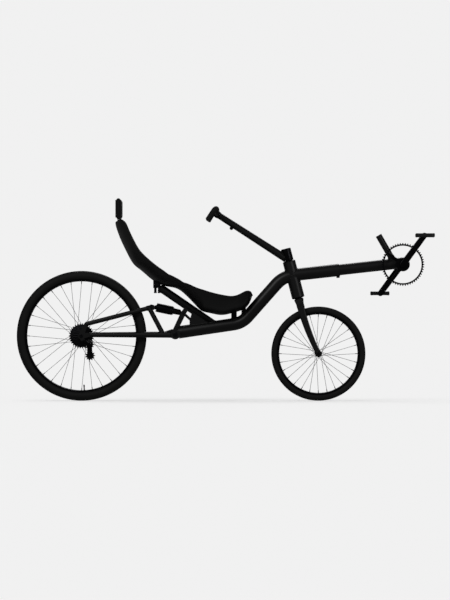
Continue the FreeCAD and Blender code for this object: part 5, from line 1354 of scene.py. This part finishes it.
def bar_points(side):
    """The bar's corners, from its middle to its end."""
    corner = TILLER_TIP + TILLER_BACK * BAR_BACK + TILLER_UP * BAR_RISE
    end = corner - TILLER_UP * BAR_DROP
    return [TILLER_TIP, TILLER_TIP + ACROSS * side * BAR_STRAIGHT, corner + ACROSS * side * BAR_CORNER_Y,
            end + ACROSS * side * BAR_END_Y]


def evenly(path, gap):
    """An open path with its points an even distance apart."""
    metres = metres_along(path)
    wanted = np.linspace(0, metres[-1], int(metres[-1] / gap))
    return np.stack([np.interp(wanted, metres, path[:, i]) for i in range(3)], -1), wanted


bars, grips, steady = [], [], np.cross(ACROSS, TILLER_BACK)
for side in (-1, 1):
    points = bar_points(side)
    path, run = evenly(bent(points, [BAR_SWEEP_R, BAR_BEND_R], 14), 0.003)
    bars.append(tube(path, BAR_R, 28, side=steady))
    inner, corner, outer = points[1:]
    ends = corner + unit(inner - corner) * GRIP_LEAD, outer + unit(outer - corner) * GRIP_END
    path, run = evenly(bent([ends[0], corner, ends[1]], [BAR_BEND_R], 14), 0.0006)
    long = run[-1]
    rib = 0.5 - 0.5 * np.cos(2 * np.pi * run / RIB_STEP)
    plain = np.maximum(1 - smooth_step(run, 0.005, 0.007), smooth_step(run, long - 0.007, long - 0.005))
    radius = GRIP_R - RIB_DEEP * np.where(plain > 0.5, 0.0, 1 - rib ** 0.6)
    lip, nose = 1 - smooth_step(run, 0.0, 0.0016), smooth_step(run, long - 0.0022, long) ** 2
    radius -= 0.0016 * lip + 0.0022 * nose
    grips.append(tube(path, radius, 32, side=steady))
piece("handlebar_bent", bars, "fork", "black_alloy", ["handlebar"])
piece("grips_ribbed", grips, "fork", "grip_rubber", ["grips"])
print("tiller", round(float(TILLER_L) * 1000, 1), "mm long")
print("shock", round(float(SHOCK_L) * 1000, 1), "mm between its eyes")

# %% [markdown]
# ## Welds
# The tubes are joined by hand-laid welds, which show under the paint as a rope of small ripples,
# one for each dab of the filler rod. A weld runs where two solids meet, so it is found on the
# solids themselves: the corners of one mesh that lie on the surface of the other. Put in order
# round the joint, smoothed and evenly spaced, they are the path of the bead.

# %% Lay the welds
WELD_R, RIPPLE, TOUCH = 0.0021, 0.0025, 0.0004
BEAD_STEP = 0.0005


def meeting(node, other):
    """The corners of one solid's mesh that lie on another's surface."""
    mesh = frame["nodes"][other].data
    surface = BVHTree.FromPolygons([v.co for v in mesh.vertices], [tuple(p.vertices) for p in mesh.polygons])
    points = coordinates(frame["nodes"][node].data)
    far = np.array([surface.find_nearest(p)[3] for p in points])
    return points[far < TOUCH]


def bead(path, along, radius=WELD_R):
    """A closed rope along the path: each ripple swells quickly and ends at once,
    r = radius * (0.88 + 0.2 * (s / pitch mod 1) ** 0.5)."""
    path = smoothed_loop(spaced(smoothed_loop(spaced(path, 0.001), 4), BEAD_STEP), 2)
    ripples = max(8, round(len(path) * BEAD_STEP / RIPPLE))
    share = (np.arange(len(path)) * ripples / len(path)) % 1
    return tube(path, radius * (0.88 + 0.2 * np.sqrt(share)), 8, side=along, loop=True)


def weld(node, other, along, keep=None, radius=WELD_R, slices=48):
    """The bead between two solids, seen along a direction; keep chooses which joint where there are
    several."""
    points = meeting(node, other)
    if keep is not None:
        points = points[keep(points)]
    e1, e2 = square_to(along)
    return bead(outline_of(points, points @ e1, points @ e2, slices), np.asarray(along, float), radius)


def on_left(points):
    """Which points are on the bicycle's left side."""
    return points[:, 1] > 0


def on_right(points):
    """Which points are on its right side."""
    return points[:, 1] < 0


# rough directions that the joints are seen along, so that their corners fall into order
STRUT_TURN = math.radians(180 - 34.4)
STRUT_BACK = np.array([math.cos(STRUT_TURN), 0, math.sin(STRUT_TURN)])
STRUT_UP = np.array([STRUT_BACK[2], 0, -STRUT_BACK[0]])
STAY_AHEAD = np.array([1.0, 0, 0])
POST_BACK = np.array([-0.5, 0, 0.866])
BRACE_UP = np.array([-0.42, 0, 0.91])
UP = np.array([0.0, 0.0, 1.0])
THIN = 0.0015                   # bead round a thin plate or a small tube
TOWER_FEET = ((-0.3, -0.2), (-0.2, 0.0))    # x of the shock tower's two feet
BETWEEN_POSTS = 0.085           # x between the seat's two front mounts

frame_beads = [weld("main_tube", "head_tube", BOOM_AHEAD, lambda p: (p - HEAD) @ STEER_AHEAD > 0),
               weld("main_tube", "head_tube", BOOM_AHEAD, lambda p: (p - HEAD) @ STEER_AHEAD < 0),
               weld("seat_strut", "main_tube", STRUT_BACK)]
for side in (on_left, on_right):
    frame_beads += [weld("swingarm_braces", "lower_stays", BRACE_UP, side, THIN),
                    weld("swingarm_braces", "shock_bridge", BRACE_UP, side, THIN),
                    weld("shock_bridge", "upper_stays", ACROSS, side, THIN),
                    weld("lower_stays", "pivot_lugs", STAY_AHEAD, side, THIN)]
    for low, high in TOWER_FEET:
        frame_beads.append(weld("shock_tower", "main_tube", UP,
                                lambda p: side(p) & (p[:, 0] > low) & (p[:, 0] < high), THIN))
    frame_beads.append(weld("shock_tower", "seat_strut", STRUT_UP, side, THIN))
piece("frame_welds", frame_beads, "frame", "frame_paint")

post_beads = [weld("seat_front_mounts", "main_tube", UP, lambda p: p[:, 0] < BETWEEN_POSTS),
              weld("seat_front_mounts", "main_tube", UP, lambda p: p[:, 0] > BETWEEN_POSTS)]
piece("seat_post_welds", post_beads, "frame", "frame_paint")
fork_beads = [weld("tiller_tube", "stem", TILLER_BACK), weld("tiller_tube", "bar_clamp", TILLER_BACK)]
for side in (on_left, on_right):
    fork_beads += [weld("fork_blades", "fork_crown", STEER_UP, side, THIN),
                   weld("fork_blades", "fork_ends", STEER_UP, side, THIN)]
piece("fork_welds", fork_beads, "fork", "frame_paint")
boom_beads = [weld("boom_tube", "bb_shell", BOOM_AHEAD), weld("derailleur_post", "boom_tube", POST_BACK)]
piece("boom_welds", boom_beads, "boom", "frame_paint")
print("welds laid:", len(frame_beads) + len(post_beads) + len(fork_beads) + len(boom_beads))

# %% [markdown]
# ## Rear derailleur
# The derailleur hangs from the dropout by one bolt. Its body is forged, so it is rounded like the
# crank arms, with turned knuckles at both ends. The cage is two plates of the same outline, only
# thinner, and two small toothed pulleys run between them.

# %% Build the derailleur
PULLEYS = sorted(lump_middles("jockey_wheels"), key=lambda p: -p[2])
HANGER = REAR + np.array([0.012, 0.0, -0.029])
LINK_Y, LINK_T, LINK_R = -0.0829, 0.008, 0.009
CAGE_Y, CAGE_GAP, CAGE_T = float(PULLEYS[0][1]), 0.0029, 0.002
CAGE_RADII = (0.013, 0.012)
DROPOUT_FACE = -0.0749
PULLEY_TEETH, PULLEY_T, PULLEY_BORE = 11, 0.005, 0.0125

guide, tension = PULLEYS
body = [forged(HANGER, guide, (LINK_R, LINK_R), LINK_Y, LINK_T, power=3.0, flute=0.0012, rows=48, columns=28)]
knuckle = [(0, 0.004), (0, 0.0079), (0.0045, 0.0079), (0.005, 0.0072), (0.006, 0.0072), (0.0065, 0.0079),
           (0.0118, 0.0079), (0.0118, 0.004)]
at_bolt = HANGER * [1, 0, 1] + ACROSS * DROPOUT_FACE
body.append(hoop(knuckle, 0.0005, at_bolt, -ACROSS, 40))
body.append(screw(at_bolt - ACROSS * 0.0106, -ACROSS, 0.0068, 0.0014, 0.0028))
barrel_top = CAGE_Y - CAGE_GAP - CAGE_T - 0.0004
pivot_barrel = eased([(0, 0.0), (0, 0.0089), (0.0075, 0.0089), (0.008, 0.0081), (0.0095, 0.0081),
                      (0.01, 0.0089), (0.0194, 0.0089), (0.0196, 0.0)], 0.0005)
body.append(turned(pivot_barrel, guide * [1, 0, 1] + ACROSS * barrel_top, -ACROSS, 40))
anchor = (HANGER + guide) / 2 + np.array([0.001, 0, 0.002])
body.append(hex_nut(anchor * [1, 0, 1] + ACROSS * (LINK_Y - 0.0036), -ACROSS, 0.0075, 0.003))
piece("derailleur_body_forged", body, "frame", "black_alloy", ["derailleur_body"])

cage = [forged(guide, tension, CAGE_RADII, CAGE_Y + side * (CAGE_GAP + CAGE_T / 2), CAGE_T, power=8.0)
        for side in (-1, 1)]
for pulley in PULLEYS:
    for side in (-1, 1):
        cage.append(rod(pulley + ACROSS * side * CAGE_GAP, ACROSS * side, -CAGE_GAP, 0, 0.003, 20))
    cage.append(screw(pulley - ACROSS * 0.0047, -ACROSS, 0.0036, 0.0016, 0.0018))
piece("derailleur_cage_stamped", cage, "frame", "black_alloy", ["derailleur_cage"])

wheels = []
for pulley in PULLEYS:
    wheels += [toothed(pulley, PULLEY_TEETH, 0.0, PULLEY_T, PULLEY_BORE),
               collar(pulley, ACROSS, -0.0016, 0.0016, 0.0068, 0.0128, 0.0004, 44),
               collar(pulley, ACROSS, -PULLEY_T / 2, PULLEY_T / 2, 0.0032, 0.0072, 0.0004, 32)]
piece("jockey_wheels_moulded", wheels, "frame", "pedal_plastic", ["jockey_wheels"])

# %% [markdown]
# ## Bearing cups, clamps and small screws
# The bottom bracket screws into its shell by cups with notches for a tool. A clamp bolt pinches
# the ears under the boom's sleeve, and screws hold the headrest's strap and the tiller's boss.

# %% Fit the cups and the small screws
BB_HALF, BB_BORE, BB_R = 0.034, 0.00905, 0.017
CUP_R, CUP_T, CUP_NOTCHES = 0.0195, 0.0038, 16
bb_sleeve = [(-BB_HALF, BB_BORE), (-BB_HALF, BB_R), (BB_HALF, BB_R), (BB_HALF, BB_BORE)]
bb_cups = [turned(bb_sleeve, CRANK, ACROSS, 48, ring=True)]
for side in (-1, 1):
    bb_cups.append(knurled(BB_HALF, BB_HALF + CUP_T, CUP_R, CUP_NOTCHES, 0.0009, CRANK, ACROSS * side))
piece("bb_cups_notched", bb_cups, "boom", "black_steel", ["bb_unit"])

ear_low, ear_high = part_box("boom_clamp")
ear_bolt = np.array([(ear_low[0] + ear_high[0]) / 2 + 0.0012, 0, ear_low[2] + 0.0046])
small = [*pinch_bolt(ear_bolt, -ACROSS, 0.0073, (0.0042, 0.0038, 0.0022), (0.008, 0.0036, 0.0024)),
         threaded(ear_bolt + ACROSS * 0.0073, ACROSS, 0.0024, 0.006)]
strap_low = np.array(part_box("headrest_bracket")[0])
strap_out = np.array([0.954, 0.0, 0.299])
strap_face = np.array([strap_low[0] + 0.0145, 0.0, strap_low[2] + 0.0125])
for dy in (-0.01, 0.01):
    small.append(screw(strap_face + ACROSS * dy, strap_out, 0.0042, 0.0026, 0.0021))
mount_low = np.array(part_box("seat_rear_mount")[0])
for ahead in (0.0105, 0.0295):
    foot = np.array([mount_low[0] + ahead, 0.0, mount_low[2]])
    small += [hex_nut(foot + UP * 0.0016, UP, 0.0132, 0.0055, 0.0062),
              threaded(foot + UP * 0.003, -UP, 0.0062, 0.0031)]
piece("frame_screws", small, "frame", "black_steel")
boss_at = TILLER_ROOT + TILLER_BACK * 0.330 - TILLER_UP * 0.020
boss_screws = pinch_bolt(boss_at, -ACROSS, 0.009, (0.0048, 0.003, 0.0026), (0.0085, 0.003))
piece("tiller_boss_screws", boss_screws, "fork", "black_steel")

# %% [markdown]
# ## Trim round the bucket
# The cut edge of a glass bucket is sharp, so a rubber trim is pressed over it all the way round.
# Its path is the bucket's outermost points in thin slices, smoothed into a loop.

# %% Trim the bucket's edge
TRIM_R, TRIM_IN = 0.0034, 0.0015        # radius, and how far it sits inside the bucket's sides

shell_points = coordinates(frame["nodes"]["seat_shell"].data)
shell_edge = outline_of(shell_points, shell_points[:, 1], along_pad(shell_points), 180)
trim_path = smoothed_loop(spaced(smoothed_loop(spaced(shell_edge, 0.008), 3), STEP), 3)
trim_path -= ACROSS * np.sign(trim_path[:, 1:2]) * TRIM_IN * np.minimum(1, np.abs(trim_path[:, 1:2]) / 0.02)
piece("seat_edge_trim", [tube(trim_path, TRIM_R, 12, loop=True)], "frame", "grip_rubber")
print("trim", round(float(metres_along(trim_path)[-1]), 2), "m long")

# %% [markdown]
# ## Everything else
# The plain tubes, plates and blocks already have the right shape. Each is copied and its triangles
# are joined into one skin so that light runs smoothly over it. The corners of those listed below get a
# small round, because a real edge is never quite sharp and catches a thin line of light.

# %% Finish the remaining solids
# the width of a worn corner in metres
WORN = {"dropouts": 0.0007, "shock_tower": 0.0006, "fork_crown": 0.002, "seat_front_mounts": 0.001,
        "seat_rear_mount": 0.001, "boom_clamp": 0.0007, "headrest_bracket": 0.0006, "pivot_lugs": 0.0009,
        "shock_bridge": 0.0006, "pivot_shell": 0.0007, "bb_shell": 0.0007, "fork_ends": 0.0008,
        "head_tube": 0.0006}
for node in BODY_OF:
    if not frame["nodes"][node].hide_render:
        merged(node, WORN.get(node, 0.0))

# %% [markdown]
# ## Sizes
# The new pieces should leave the bicycle as large as its solids, so both boxes are written down.

# %% Sizes
dressed_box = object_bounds()
for label, box in (("solids", solids_box), ("dressed", dressed_box)):
    print(label, [list(np.round(corner, 4)) for corner in box])
